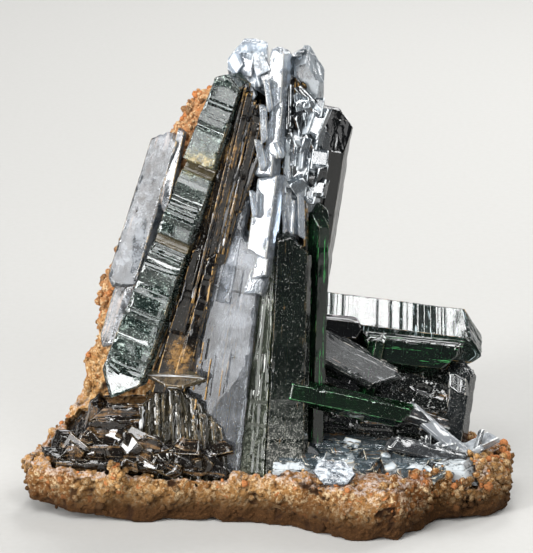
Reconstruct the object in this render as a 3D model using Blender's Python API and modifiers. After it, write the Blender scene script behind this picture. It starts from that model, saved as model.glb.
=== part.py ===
"""Vivianite crystals on a limonite matrix, about 68 mm wide and 66 mm tall.

A leaning tower of blades has grown up against a wall of matrix. More prisms lie to its right.
The specimen stands on the flat underside of its matrix, and the origin is in that underside,
under the middle of the specimen. +X is to the right, +Y to the back and +Z up. Lengths are in
millimetres until MM turns them to metres.
"""

import math

import bmesh
import bpy
import numpy as np
from mathutils import Matrix, Vector

# Driving dimensions.
MM = 0.001
TOWER_TOP = 65.0  # height of the tallest blade above the surface that it stands on
ROOT = 5.0  # height at which the crystals' feet end, inside the bed
GAP = 0.3  # clearance between crystals that grew against each other
BED_THICKNESS = 7.5
WALL_THICKNESS = 5.0
LUMP_VOXEL = 1.35  # coarseness of the matrix before its lumps are raised
MATRIX_DETAIL = 0.52  # share of the matrix's faces that are kept
LEFT_LIFT_DEG = 8.0  # the left end of the bed is undercut by this slope
LEFT_LIFT_FROM = -19.0

# Plain colours of the kinds of mineral.
LIMONITE = (0.62, 0.36, 0.17, 1.0)
DARK_GREEN = (0.05, 0.11, 0.08, 1.0)
CLEAR_GREY = (0.30, 0.34, 0.35, 1.0)
BROWN_STAINED = (0.16, 0.12, 0.07, 1.0)
PALE_BLUE = (0.55, 0.62, 0.66, 1.0)


# ---------------------------------------------------------------- shapes


def outward(body):
    """Turns every face of a closed body to look outward."""
    bmesh.ops.recalc_face_normals(body, faces=body.faces[:])
    if body.calc_volume(signed=True) < 0:
        bmesh.ops.reverse_faces(body, faces=body.faces[:])
    return body


def cut_off(body, point, normal):
    """Removes what lies beyond a plane and closes the cut."""
    everything = body.verts[:] + body.edges[:] + body.faces[:]
    bmesh.ops.bisect_plane(body, geom=everything, plane_co=point, plane_no=normal, clear_outer=True)
    bmesh.ops.holes_fill(body, edges=body.edges[:], sides=0)


def extruded(outline, length, plane="XY"):
    """A flat outline carried along the third axis. The plane is XY, or YZ for one carried along X."""
    body = bmesh.new()
    if plane == "XY":
        corners = [body.verts.new((x, y, 0)) for x, y in outline]
        travel = Vector((0, 0, length))
    else:
        corners = [body.verts.new((-length / 2, y, z)) for y, z in outline]
        travel = Vector((length, 0, 0))
    face = body.faces.new(corners)
    moved = bmesh.ops.extrude_face_region(body, geom=[face])["geom"]
    bmesh.ops.translate(body, vec=travel, verts=[v for v in moved if isinstance(v, bmesh.types.BMVert)])
    return outward(body)


def tapered(body, length, taper):
    """Shrinks a body along Z, evenly in X and Y, to the given share at its far end."""
    for vertex in body.verts:
        share = 1 + (taper - 1) * vertex.co.z / length
        vertex.co.x *= share
        vertex.co.y *= share
    return body


def stood(body, foot, tip, facing):
    """Carries a body built up its own Z from the origin to where it grows, from foot to tip.

    Its front, which is its own -Y, turns towards the vector facing.
    """
    up = (Vector(tip) - Vector(foot)).normalized()
    front = Vector(facing) - Vector(facing).dot(up) * up
    front.normalize()
    across = up.cross(front)
    turn = Matrix((across, -front, up)).transposed().to_4x4()
    body.transform(Matrix.Translation(foot) @ turn)
    return outward(body)


def facing(azimuth, elevation=0.0):
    """The direction that a face looks in: 0 is to the front, positive to the right and up."""
    turn, lift = math.radians(azimuth), math.radians(elevation)
    return (math.sin(turn) * math.cos(lift), -math.cos(turn) * math.cos(lift), math.sin(lift))


def crystal(foot, tip, section, front, taper=1.0, tip_cuts=(), foot_cuts=()):
    """A straight crystal with flat faces.

    section is its outline at the foot, as (across, into) pairs. Each cut is (drop, side, forward):
    a plane that crosses the axis drop short of the end, tipped to the right and to the front by
    the two angles in degrees.
    """
    length = (Vector(tip) - Vector(foot)).length
    body = tapered(extruded(section, length), length, taper)
    for drop, side, forward in tip_cuts:
        normal = (math.tan(math.radians(side)), -math.tan(math.radians(forward)), 1)
        cut_off(body, (0, 0, length - drop), normal)
    for drop, side, forward in foot_cuts:
        normal = (math.tan(math.radians(side)), -math.tan(math.radians(forward)), -1)
        cut_off(body, (0, 0, drop), normal)
    return stood(body, foot, tip, front)


def hexagon(width, depth, point=0.28):
    """A six-sided outline with its front face broad. point is the share of the width in each bevel."""
    half, back, flat = width / 2, depth / 2, width * (0.5 - point)
    return [(-half, 0), (-flat, -back), (flat, -back), (half, 0), (flat, back), (-flat, back)]


def slab(width, depth, bevel):
    """A flat outline with its two front edges bevelled."""
    half, back = width / 2, depth / 2
    return [
        (-half, bevel - back),
        (bevel - half, -back),
        (half - bevel, -back),
        (half, bevel - back),
        (half, back),
        (-half, back),
    ]


def ribbed(width, depth, front_ribs, rib_depth, back_ribs=0):
    """An outline with ribs of uneven width along its front and, if asked for, its back."""

    def edge(count):
        widths = 1 + 0.55 * np.sin(2.4 * np.arange(count))
        ends = np.concatenate([[0], np.cumsum(widths)]) / widths.sum() * width - width / 2
        return list(zip(ends[:-1], ends[1:]))

    points = []
    for left, right in edge(front_ribs):
        points += [(left, -depth / 2 + rib_depth), (left + 0.35 * (right - left), -depth / 2)]
    points.append((width / 2, -depth / 2 + rib_depth))
    points.append((width / 2, depth / 2 - rib_depth))
    for left, right in reversed(edge(max(back_ribs, 1))):
        points += [(left + 0.6 * (right - left), depth / 2), (left, depth / 2 - rib_depth)]
    return points


# ---------------------------------------------------------------- the tower


def stepped_blade():
    """The long leaning blade on the left flank, whose face climbs in growth steps."""
    foot, tip, width, taper = (-20.8, -5.7, 16.0), (-3.5, 0.3, 61.9), 6.6, 0.62
    length = (Vector(tip) - Vector(foot)).length
    # Each step is its height along the blade and how far its face stands in front of the back.
    steps = [
        (0.0, 2.6), (11.6, 2.9), (18.0, 3.2), (21.4, 3.6), (23.2, 2.3), (25.4, 3.1),
        (29.6, 3.6), (31.0, 2.7), (33.0, 3.0), (35.4, 4.6), (length, 4.6),
    ]
    rise = [(-steps[0][1], steps[0][0])]
    for (_, before), (along, after) in zip(steps, steps[1:]):
        rise += [(-before, along), (-after, along + 0.25)] if after != before else []
    outline = rise + [(-steps[-1][1], length), (0, length), (0, 0)]
    body = extruded(outline, width, plane="YZ")
    for vertex in body.verts:
        vertex.co.x *= 1 + (taper - 1) * vertex.co.z / length
    for drop, side, forward in ((0.4, -28, 0), (2.2, 18, 40)):
        normal = (math.tan(math.radians(side)), -math.tan(math.radians(forward)), 1)
        cut_off(body, (0, 0, length - drop), normal)
    for drop, side, forward in ((1.2, -58, 0), (2.4, 40, 0), (2.2, 0, 62)):
        normal = (math.tan(math.radians(side)), -math.tan(math.radians(forward)), -1)
        cut_off(body, (0, 0, drop), normal)
    return [stood(body, foot, tip, facing(-20))]


def clear_blade():
    """The broad clear blade at the front, widening down to its foot."""
    section = slab(width=10.0, depth=5.2, bevel=1.0)
    return [
        crystal(
            (-8.6, -5.7, ROOT), (-2.9, -1.6, 40.8), section, facing(-14), taper=0.57,
            tip_cuts=[(0.2, -12, 38), (1.4, 35, 10)],
        )
    ]


def bright_blade():
    """The narrow blade that runs up the middle of the tower to its top."""
    section = slab(width=3.2, depth=3.6, bevel=0.35)
    return [
        crystal(
            (-1.8, -4.4, 31.0), (1.7, 1.0, TOWER_TOP), section, facing(-24), taper=0.74,
            tip_cuts=[(0.0, 22, 8), (1.0, -8, 45)], foot_cuts=[(0.4, 10, 0)],
        )
    ]


def wedge_blade():
    """The thin wedge between the clear blade and the dusty prism."""
    section = [(-2.3, -0.4), (2.2, -2.7), (2.5, 2.2), (-2.2, 2.2)]
    return [
        crystal(
            (-2.8, -7.1, ROOT), (0.4, -2.7, 37.8), section, facing(0), taper=0.3,
            tip_cuts=[(0.5, 30, 25)],
        )
    ]


def dusty_prism():
    """The upright prism right of the middle, its front face dull with dust."""
    section = [(-3.3, -1.5), (-2.6, -3.1), (2.5, -3.1), (3.3, -1.9), (3.2, 3.0), (-3.2, 3.0)]
    return [
        crystal(
            (2.1, -6.1, ROOT), (3.5, -1.2, 41.3), section, facing(3), taper=0.78,
            tip_cuts=[(0.6, -18, 30), (2.2, 44, 5)],
        )
    ]


def edge_prism():
    """The slender green prism down the tower's right edge, with a blunt rounded top."""
    section = hexagon(width=3.4, depth=4.4, point=0.24)
    return [
        crystal(
            (6.0, -3.5, ROOT), (7.1, 0.9, 42.9), section, facing(24), taper=0.9,
            tip_cuts=[(0.0, 32, 20), (0.4, -34, 12), (0.6, 0, 50)],
        )
    ]


def outer_blades():
    """The smooth flat blades that close the tower's left flank, the upper over the lower."""
    upper = crystal(
        (-20.6, -1.6, 29.0), (-13.2, 1.0, 53.4), slab(width=5.0, depth=2.6, bevel=0.5), facing(-36),
        taper=0.84, tip_cuts=[(0.4, -34, 10), (0.2, 25, 0)], foot_cuts=[(0.4, -46, 20), (2.6, 20, 0)],
    )
    lower = crystal(
        (-22.8, -3.0, 13.0), (-17.6, 0.2, 36.0), slab(width=4.0, depth=2.2, bevel=0.4), facing(-30),
        taper=0.9, tip_cuts=[(0.4, 30, 10)], foot_cuts=[(0.6, -40, 20)],
    )
    return [upper, lower]


def crown_cap():
    """The broken block at the tower's top left, and the splinter that hangs under it."""
    block = crystal(
        (-2.0, 3.0, 55.0), (-2.9, 2.6, 65.0), hexagon(width=5.8, depth=6.2, point=0.16), facing(-12),
        tip_cuts=[(0.3, -8, 10), (0.1, 12, 2), (-1.2, -52, 8), (1.4, 0, 54)],
        foot_cuts=[(4.0, -34, 30)],
    )
    splinter = crystal(
        (-1.6, 0.2, 55.6), (-3.9, 1.6, 61.8), slab(width=1.4, depth=2.4, bevel=0.3), facing(-30),
        foot_cuts=[(0.5, 40, 0)],
    )
    return [block, splinter]


def crown_shards():
    """The short prisms, broken at all angles, that crowd the tower's top right."""
    tall = crystal(
        (4.7, 3.4, 41.0), (3.9, 3.0, 64.3), hexagon(width=3.0, depth=5.0, point=0.2), facing(-28),
        tip_cuts=[(0.2, 14, 14), (1.6, -30, 30), (1.4, 40, 0)],
    )
    roof = crystal(
        (5.4, 3.8, 41.0), (5.7, 3.4, 63.0), hexagon(width=4.2, depth=5.6, point=0.22), facing(18),
        tip_cuts=[(0.3, 34, 6), (2.4, 58, 10), (1.8, 20, 48)],
    )
    left = crystal(
        (3.4, 0.3, 42.4), (4.0, 0.9, 58.2), slab(width=2.2, depth=3.0, bevel=0.5), facing(-36),
        tip_cuts=[(0.2, -42, 20), (1.2, 40, 30)],
    )
    crossing = crystal(
        (6.9, 0.5, 44.4), (4.3, 1.1, 56.6), slab(width=2.0, depth=3.0, bevel=0.4), facing(8),
        tip_cuts=[(0.2, 30, 35)],
    )
    right = crystal(
        (6.2, 0.9, 44.0), (7.2, 1.5, 54.2), hexagon(width=2.4, depth=3.4, point=0.25), facing(34),
        tip_cuts=[(0.2, 40, 25), (0.6, -30, 10)],
    )
    low = crystal(
        (4.6, -0.4, 43.2), (5.4, -0.1, 50.0), slab(width=2.0, depth=2.4, bevel=0.5), facing(-8),
        tip_cuts=[(0.2, -35, 30)], foot_cuts=[(0.4, 30, 20)],
    )
    return [roof, tall, left, crossing, right, low]


def needle_columns():
    """The thin columns that hang side by side between the bright blade and the crown's shards."""
    inner = crystal(
        (3.2, -1.4, 36.0), (2.9, -0.2, 49.4), slab(width=1.1, depth=2.2, bevel=0.25), facing(-16),
        tip_cuts=[(0.2, -38, 20)], foot_cuts=[(0.3, 30, 0)],
    )
    outer = crystal(
        (4.5, -1.5, 38.4), (4.3, -0.4, 46.4), slab(width=1.0, depth=2.0, bevel=0.25), facing(14),
        tip_cuts=[(0.2, 30, 30)], foot_cuts=[(0.3, -40, 0)],
    )
    bridge = crystal(
        (3.7, -0.4, 40.6), (3.7, 0.5, 45.6), slab(width=1.6, depth=1.8, bevel=0.3), facing(0),
        tip_cuts=[(0.2, 0, 30)], foot_cuts=[(0.2, 0, 30)],
    )
    return [inner, outer, bridge]


def rear_prism():
    """The dark prism that leans out behind the tower's right edge."""
    section = hexagon(width=6.2, depth=6.0, point=0.2)
    return [
        crystal(
            (2.1, 8.6, ROOT), (9.5, 10.6, 54.0), section, facing(6), taper=0.94,
            tip_cuts=[(0.2, 5, 2), (1.3, 2, 56), (-0.8, 46, 0)],
        )
    ]


def ribbed_core():
    """The ribbed columns, grown into one mass, that the tower's other blades lie against."""
    section = ribbed(width=24.0, depth=12.4, front_ribs=11, rib_depth=1.0, back_ribs=7)
    return [
        crystal(
            (-5.8, 2.0, ROOT), (0.7, 4.2, 62.6), section, facing(-4), taper=0.40,
            tip_cuts=[(0.6, -14, 16), (1.2, 24, -20)],
        )
    ]


# ---------------------------------------------------------------- the foot of the tower


def fan_stump():
    """The fluted stump in front of the tower's left foot, broken off across its top."""
    upper = crystal(
        (-12.4, -5.2, ROOT), (-13.2, -4.2, 21.4), ribbed(11.0, 7.4, front_ribs=9, rib_depth=0.7),
        facing(-8), taper=0.74, tip_cuts=[(0.6, -4, 24), (2.2, 34, 10), (1.6, -40, 10)],
    )
    lower = crystal(
        (-7.8, -6.4, ROOT), (-8.4, -5.6, 16.8), ribbed(6.0, 5.6, front_ribs=4, rib_depth=0.6),
        facing(6), taper=0.8, tip_cuts=[(0.4, 14, 30), (1.8, 50, 10)],
    )
    return [upper, lower]


def foot_block():
    """The dark crystal that lies along the front of the bed under the fluted stump."""
    return [
        crystal(
            (-22.0, -7.2, 8.9), (-4.4, -8.0, 8.0), slab(width=4.6, depth=3.6, bevel=0.7),
            facing(-2, 24), tip_cuts=[(0.4, -8, 24), (1.8, -40, 0)],
            foot_cuts=[(0.4, -16, 20), (1.4, -44, 10)],
        )
    ]


def foot_ledges():
    """The flat blades that lie like stairs on the bed, left of the tower's foot."""
    back = crystal(
        (-29.2, 1.2, 9.0), (-14.0, -1.0, 9.8), slab(width=4.8, depth=7.6, bevel=0.6), facing(0),
        foot_cuts=[(1.0, -42, 16)],
    )
    middle = crystal(
        (-31.0, -1.4, 7.7), (-12.0, -3.6, 8.2), slab(width=4.0, depth=6.4, bevel=0.5), facing(0),
        foot_cuts=[(0.8, -36, 24)],
    )
    front = crystal(
        (-32.4, -3.2, 6.3), (-15.0, -6.2, 6.8), slab(width=3.4, depth=5.6, bevel=0.5), facing(4),
        tip_cuts=[(0.6, 20, 30)], foot_cuts=[(1.0, -28, 34)],
    )
    spur = crystal(
        (-25.6, 0.0, 6.4), (-23.0, -1.2, 16.0), hexagon(width=3.4, depth=3.4), facing(-20),
        tip_cuts=[(0.3, -34, 26), (1.0, 30, 0)],
    )
    return [back, middle, front, spur]


def shelf_plates():
    """The cracked plates that lie flat on the bed, right of the tower's foot."""
    lowest = crystal(
        (0.2, -1.0, 6.9), (32.4, 0.2, 6.3), slab(width=3.6, depth=18.0, bevel=0.9), facing(0),
        tip_cuts=[(0.5, -30, 26), (3.4, -10, -40)],
    )
    middle = crystal(
        (1.2, -1.4, 8.3), (29.0, -0.4, 7.3), slab(width=2.2, depth=15.6, bevel=0.7), facing(4),
        tip_cuts=[(0.4, -24, 32), (3.0, 0, -30)],
    )
    top = crystal(
        (2.4, -0.4, 9.3), (22.6, 0.8, 8.6), slab(width=1.8, depth=11.0, bevel=0.6), facing(-3),
        tip_cuts=[(0.4, -20, 38), (2.0, 0, -36)],
    )
    return [lowest, middle, top]


def loose_plate():
    """The small six-sided plate that lies tipped on the front of the shelf."""
    outline = [(-3.1, 0.2), (-1.9, -1.6), (1.9, -1.7), (3.1, -0.1), (2.2, 1.7), (-2.0, 1.7)]
    return [
        crystal(
            (9.1, -12.4, 7.6), (9.1, -13.2, 9.8), outline, facing(0), taper=0.94,
            tip_cuts=[(0.3, -3, 4)],
        )
    ]


# ---------------------------------------------------------------- the pile on the right


def lying_prism():
    """The large prism that lies out to the right, its fluted top face to the light."""
    section = [(-4.3, 4.0), (-2.3, -3.7), (1.1, -4.4), (4.0, -1.4), (3.6, 3.8)]
    return [
        crystal(
            (3.4, 10.4, 22.6), (32.4, 10.0, 18.9), section, facing(0),
            tip_cuts=[(0.4, 6, 16), (1.4, -40, 6), (2.0, 48, 0)],
        )
    ]


def under_prism():
    """The dark prism that lies along the front of the lying prism, lower down."""
    section = hexagon(width=5.6, depth=4.6, point=0.2)
    return [
        crystal(
            (13.4, 4.4, 20.6), (27.6, 4.0, 19.2), section, facing(0, 12),
            tip_cuts=[(0.3, 10, 20), (1.2, 46, 0)], foot_cuts=[(0.4, 30, 10)],
        )
    ]


def stub_prism():
    """The short blue-black prism in front of the lying prism's left end."""
    section = hexagon(width=4.2, depth=4.2, point=0.22)
    return [
        crystal(
            (6.0, 4.9, 23.9), (14.6, 4.6, 23.0), section, facing(0, 20),
            tip_cuts=[(0.4, 30, 26), (1.0, -30, 0)],
        )
    ]


def cross_prism():
    """The small broken prism that stands across the front of the lying prism."""
    section = hexagon(width=2.8, depth=2.8)
    return [
        crystal(
            (13.6, 0.8, 13.0), (15.8, 2.8, 23.8), section, facing(10),
            tip_cuts=[(0.3, 26, 30), (0.8, -30, 0)],
        )
    ]


def slanting_blades():
    """The flat grey blade that slants down to the right across the pile, with a thin one behind."""
    broad = crystal(
        (4.8, 2.4, 23.2), (19.2, -1.0, 16.4), slab(width=4.4, depth=2.0, bevel=0.4), facing(8, 38),
        tip_cuts=[(0.6, -36, 10), (2.4, 46, 0)],
    )
    thin = crystal(
        (4.8, 4.6, 25.0), (16.6, 1.4, 18.4), slab(width=2.0, depth=2.6, bevel=0.4), facing(14, 40),
        tip_cuts=[(0.4, 20, 30)],
    )
    return [broad, thin]


def green_rod():
    """The green six-sided rod that runs out of the tower's foot to the right."""
    section = hexagon(width=3.7, depth=4.0, point=0.22)
    return [
        crystal(
            (2.9, -5.6, 17.8), (20.9, -4.4, 13.4), section, facing(0, 18), taper=0.96,
            tip_cuts=[(0.3, -26, 30), (1.6, 40, 0)],
        )
    ]


def bed_blades():
    """The low blades that fill the pile between the shelf and the rod."""
    long_blade = crystal(
        (5.6, 3.6, 10.2), (27.6, 1.2, 9.2), slab(width=6.4, depth=8.0, bevel=1.4), facing(0, 10),
        tip_cuts=[(0.6, -30, 24), (2.4, 24, 0)],
    )
    sloping = crystal(
        (4.6, 5.6, 19.6), (27.4, 3.4, 11.8), slab(width=7.4, depth=4.4, bevel=1.0), facing(0, 20),
        tip_cuts=[(0.6, 26, 20)],
    )
    return [long_blade, sloping]


def corner_crystal():
    """The stout upright crystal at the right end of the pile."""
    section = hexagon(width=4.0, depth=3.8, point=0.22)
    return [
        crystal(
            (26.2, 2.2, ROOT), (28.7, 4.8, 20.4), section, facing(-16), taper=0.92,
            tip_cuts=[(0.3, 8, 34), (1.8, -38, 38), (1.2, 44, 0)],
        )
    ]


def splinters():
    """The spray of thin blades that lies against the foot of the corner crystal."""
    rafter = crystal(
        (28.4, -3.6, 8.2), (20.4, -2.0, 15.6), slab(width=2.0, depth=1.5, bevel=0.3),
        facing(-20, 40), tip_cuts=[(0.3, 20, 30)],
    )
    low = crystal(
        (27.4, -5.4, 7.4), (16.6, -6.4, 10.6), slab(width=2.2, depth=2.4, bevel=0.4), facing(0, 30),
        tip_cuts=[(0.3, 34, 10)],
    )
    tie = crystal(
        (25.0, -1.0, 11.0), (18.6, -4.8, 14.4), slab(width=1.6, depth=1.4, bevel=0.3),
        facing(-10, 50), tip_cuts=[(0.3, 0, 36)],
    )
    end = crystal(
        (27.0, -2.8, 7.6), (32.6, -1.4, 10.4), slab(width=2.0, depth=2.2, bevel=0.4), facing(0, 50),
        tip_cuts=[(0.3, -30, 20)],
    )
    return [rafter, low, tie, end]


# Where two crystals meet, the one listed first is whole and the other grew round it.
CRYSTALS = (
    (stepped_blade, DARK_GREEN),
    (bright_blade, PALE_BLUE),
    (fan_stump, BROWN_STAINED),
    (clear_blade, CLEAR_GREY),
    (green_rod, DARK_GREEN),
    (dusty_prism, DARK_GREEN),
    (wedge_blade, CLEAR_GREY),
    (edge_prism, DARK_GREEN),
    (outer_blades, CLEAR_GREY),
    (crown_cap, PALE_BLUE),
    (crown_shards, CLEAR_GREY),
    (needle_columns, PALE_BLUE),
    (foot_block, BROWN_STAINED),
    (ribbed_core, BROWN_STAINED),
    (rear_prism, DARK_GREEN),
    (corner_crystal, CLEAR_GREY),
    (lying_prism, DARK_GREEN),
    (under_prism, DARK_GREEN),
    (stub_prism, DARK_GREEN),
    (cross_prism, BROWN_STAINED),
    (slanting_blades, CLEAR_GREY),
    (splinters, CLEAR_GREY),
    (bed_blades, DARK_GREEN),
    (foot_ledges, BROWN_STAINED),
    (loose_plate, PALE_BLUE),
    (shelf_plates, PALE_BLUE),
)


# ---------------------------------------------------------------- the matrix


def boulder(centre, radii):
    """A rounded lump of matrix."""
    body = bmesh.new()
    bmesh.ops.create_icosphere(body, subdivisions=3, radius=1.0)
    body.transform(Matrix.Translation(centre) @ Matrix.Diagonal((*radii, 1.0)))
    return body


def matrix_bed():
    """The bed seen from above, a rough slab longer than it is deep."""
    outline = [
        (-34.2, -2.0), (-33.0, -6.6), (-28.0, -8.8), (-20.0, -9.4), (-10.0, -9.8), (0.0, -10.8),
        (6.0, -13.4), (10.0, -16.0), (14.0, -17.4), (18.0, -16.6), (20.6, -12.4), (24.0, -9.8),
        (30.0, -8.8), (33.4, -5.0), (33.6, 1.0), (31.0, 8.0), (25.0, 14.0), (12.0, 17.6),
        (-6.0, 17.6), (-20.0, 14.6), (-30.0, 8.6),
    ]
    body = extruded(outline, BED_THICKNESS)
    body.transform(Matrix.Translation((0, 0, -0.3)))
    return body


def matrix_wall():
    """The wall that the tower grew up against, seen from the front and leaning with the tower."""
    outline = [
        (-30.0, 3.0), (-28.6, 10.0), (-26.4, 14.2), (-24.8, 20.0), (-23.2, 28.0), (-20.8, 35.0),
        (-17.6, 42.0), (-14.2, 49.0), (-11.8, 53.4), (-8.8, 57.4), (-5.0, 59.6), (1.6, 52.0),
        (3.4, 36.0), (4.0, 3.0),
    ]
    body = extruded(outline, WALL_THICKNESS)
    # The outline is drawn flat: this stands it up, with its thickness towards the back.
    body.transform(Matrix.Rotation(math.radians(90), 4, "X"))
    body.transform(Matrix.Translation((0, 4.4 + WALL_THICKNESS, 0)))
    return outward(body)


def matrix_lumps():
    """The knots that stand up from the bed and at the foot of the wall, as (centre, radii)."""
    return [
        ((27.4, -5.0, 4.2), (5.8, 4.4, 4.2)),
        ((31.0, 1.0, 4.4), (3.2, 5.4, 3.8)),
        ((14.0, -13.6, 3.4), (6.4, 4.0, 4.0)),
        ((-27.0, 4.4, 7.0), (3.8, 5.0, 3.6)),
        ((-20.6, -8.8, 6.6), (1.4, 1.2, 2.9)),
        ((-27.0, -5.4, 3.4), (6.4, 3.4, 2.8)),
        ((-13.0, 12.0, 7.0), (13.0, 5.4, 5.0)),
        ((12.0, 12.0, 5.0), (12.0, 5.4, 3.8)),
        ((-11.0, 10.8, 22.0), (9.0, 3.4, 14.0)),
        ((-8.0, 10.4, 44.0), (6.4, 2.8, 11.0)),
    ]


def texture(name, kind, size):
    made = bpy.data.textures.new(name, kind)
    made.noise_scale = size * MM
    return made


def raise_lumps(obj, name, kind, size, height):
    """Pushes the surface in and out by a pattern of the given size."""
    push = obj.modifiers.new(name, "DISPLACE")
    push.texture = texture(name, kind, size)
    push.texture_coords = "LOCAL"
    push.strength = height * MM
    push.mid_level = 0.5


def make_matrix(collection, helpers):
    """One rock: its parts are fused, given lumps, thinned out and cut flat underneath."""
    rock = joined([matrix_bed(), matrix_wall()] + [boulder(*lump) for lump in matrix_lumps()])
    obj = object_of("matrix", rock, collection)
    fuse = obj.modifiers.new("fuse", "REMESH")
    fuse.mode = "VOXEL"
    fuse.voxel_size = LUMP_VOXEL * MM
    raise_lumps(obj, "swells", "CLOUDS", size=7.0, height=2.4)
    raise_lumps(obj, "knobs", "VORONOI", size=2.6, height=1.5)
    thin = obj.modifiers.new("thin", "DECIMATE")
    thin.ratio = MATRIX_DETAIL

    half = 60.0
    below = bmesh.new()
    bmesh.ops.create_cube(below, size=2 * half)
    bmesh.ops.translate(below, vec=(0, 0, -half), verts=below.verts[:])
    boolean(obj, object_of("floor_cut", below, helpers), "DIFFERENCE")

    undercut = bmesh.new()
    bmesh.ops.create_cube(undercut, size=2 * half)
    bmesh.ops.translate(undercut, vec=(-half, 0, -half), verts=undercut.verts[:])
    undercut.transform(
        Matrix.Translation((LEFT_LIFT_FROM, 0, 0)) @ Matrix.Rotation(math.radians(LEFT_LIFT_DEG), 4, "Y")
    )
    boolean(obj, object_of("undercut", undercut, helpers), "DIFFERENCE")
    return obj


# ---------------------------------------------------------------- objects


def object_of(name, body, collection):
    """Turns a body in millimetres to an object in metres."""
    body.transform(Matrix.Scale(MM, 4))
    mesh = bpy.data.meshes.new(name)
    body.to_mesh(mesh)
    body.free()
    obj = bpy.data.objects.new(name, mesh)
    collection.objects.link(obj)
    if collection.name == "helpers":
        obj.hide_render = True
        obj.display_type = "WIRE"
    return obj


def boolean(obj, other, operation, crossing=False):
    """Adds a Boolean. crossing says that the other object's own pieces cross each other."""
    step = obj.modifiers.new(operation.lower(), "BOOLEAN")
    step.operation = operation
    step.object = other
    step.solver = "EXACT"
    step.use_self = crossing


def joined(bodies):
    """One body that holds copies of all the given ones, crossing where they do."""
    together = bmesh.new()
    for body in bodies:
        mesh = bpy.data.meshes.new("joined")
        body.to_mesh(mesh)
        together.from_mesh(mesh)
        bpy.data.meshes.remove(mesh)
    return together


def grown(body, margin):
    """The convex shape that holds a body with the margin to spare on every side."""
    hull = bmesh.new()
    for vertex in body.verts:
        hull.verts.new(vertex.co)
    bmesh.ops.convex_hull(hull, input=hull.verts[:])
    hull.normal_update()
    inside = sum((vertex.co for vertex in body.verts), Vector()) / len(body.verts)
    planes = []
    for face in sorted(hull.faces, key=lambda face: -face.calc_area()):
        # A sliver's normal can't be trusted, and the shape is only a little larger without it.
        alike = any(face.normal.dot(normal) > math.cos(math.radians(2)) for _, normal in planes)
        if face.calc_area() > 0.05 and not alike:
            planes.append((face.calc_center_median(), face.normal.copy()))
    low, high = (Vector(corner) for corner in box_of(body))
    hull.free()
    block = bmesh.new()
    bmesh.ops.create_cube(block, size=1.0)
    size = high - low + Vector((2, 2, 2))
    block.transform(Matrix.Translation((low + high) / 2) @ Matrix.Diagonal((*size, 1.0)))
    for point, normal in planes:
        if (point - inside).dot(normal) < 0:
            normal = -normal
        cut_off(block, point + margin * normal, normal)
    return outward(block)


def box_of(body):
    places = np.array([vertex.co[:] for vertex in body.verts])
    return places.min(axis=0), places.max(axis=0)


def boxes_meet(a, b):
    return bool((a[0] <= b[1]).all() and (b[0] <= a[1]).all())


def settled(obj):
    """Applies an object's modifiers and drops any chip that a cut left loose."""
    graph = bpy.context.evaluated_depsgraph_get()
    mesh = bpy.data.meshes.new_from_object(obj.evaluated_get(graph))
    obj.modifiers.clear()
    obj.data = mesh
    body = bmesh.new()
    body.from_mesh(mesh)
    unseen, islands = set(body.verts), []
    while unseen:
        island, edge = set(), [unseen.pop()]
        while edge:
            vertex = edge.pop()
            island.add(vertex)
            near = {e.other_vert(vertex) for e in vertex.link_edges} & unseen
            unseen -= near
            edge += near
        islands.append(island)

    def reach(island):
        places = np.array([vertex.co[:] for vertex in island])
        return float(np.prod(places.max(axis=0) - places.min(axis=0)))

    islands.sort(key=reach, reverse=True)
    for island in islands[1:]:
        bmesh.ops.delete(body, geom=list(island), context="VERTS")
    body.to_mesh(mesh)
    body.free()


def centred(objects):
    """Moves all the objects together so that the origin is under the middle of them."""
    places = np.array([vertex.co[:] for obj in objects for vertex in obj.data.vertices])
    middle = (places.min(axis=0) + places.max(axis=0)) / 2
    for obj in objects:
        obj.data.transform(Matrix.Translation((-middle[0], -middle[1], 0)))


def painted(obj, colour, roughness):
    material = bpy.data.materials.new(obj.name)
    material.use_nodes = True
    shader = material.node_tree.nodes["Principled BSDF"]
    shader.inputs["Base Color"].default_value = colour
    shader.inputs["Roughness"].default_value = roughness
    shader.inputs["Metallic"].default_value = 0.0
    obj.data.materials.append(material)


def main():
    for obj in list(bpy.data.objects):
        bpy.data.objects.remove(obj, do_unlink=True)
    specimen = bpy.data.collections.new("vivianite_specimen")
    helpers = bpy.data.collections.new("helpers")
    for collection in (specimen, helpers):
        bpy.context.scene.collection.children.link(collection)

    sockets = []  # each crystal made so far, grown by the gap, with its box
    crystals = []
    for make, colour in CRYSTALS:
        bodies = make()
        boxes = [box_of(body) for body in bodies]
        own = [(box_of(socket), socket) for socket in (grown(body, GAP) for body in bodies)]
        near = [s for limits, s in sockets if any(boxes_meet(limits, box) for box in boxes)]
        obj = object_of(make.__name__, bodies[0], specimen)
        if bodies[1:]:
            rest = joined(bodies[1:])
            boolean(obj, object_of(make.__name__ + "_rest", rest, helpers), "UNION", crossing=True)
        if near:
            room = object_of(make.__name__ + "_neighbours", joined(near), helpers)
            boolean(obj, room, "DIFFERENCE", crossing=True)
        sockets += own
        crystals.append((obj, colour))

    matrix = make_matrix(specimen, helpers)
    feet = object_of("matrix_sockets", joined([socket for _, socket in sockets]), helpers)
    boolean(matrix, feet, "DIFFERENCE", crossing=True)
    bpy.context.view_layer.update()
    for obj, colour in crystals + [(matrix, LIMONITE)]:
        settled(obj)
        painted(obj, colour, roughness=0.9 if obj is matrix else 0.1)
    centred([obj for obj, _ in crystals] + [matrix])


main()
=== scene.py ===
"""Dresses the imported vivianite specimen: clear and stained crystals standing on a crumbly limonite matrix."""

import itertools
import math
from functools import partial

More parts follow.
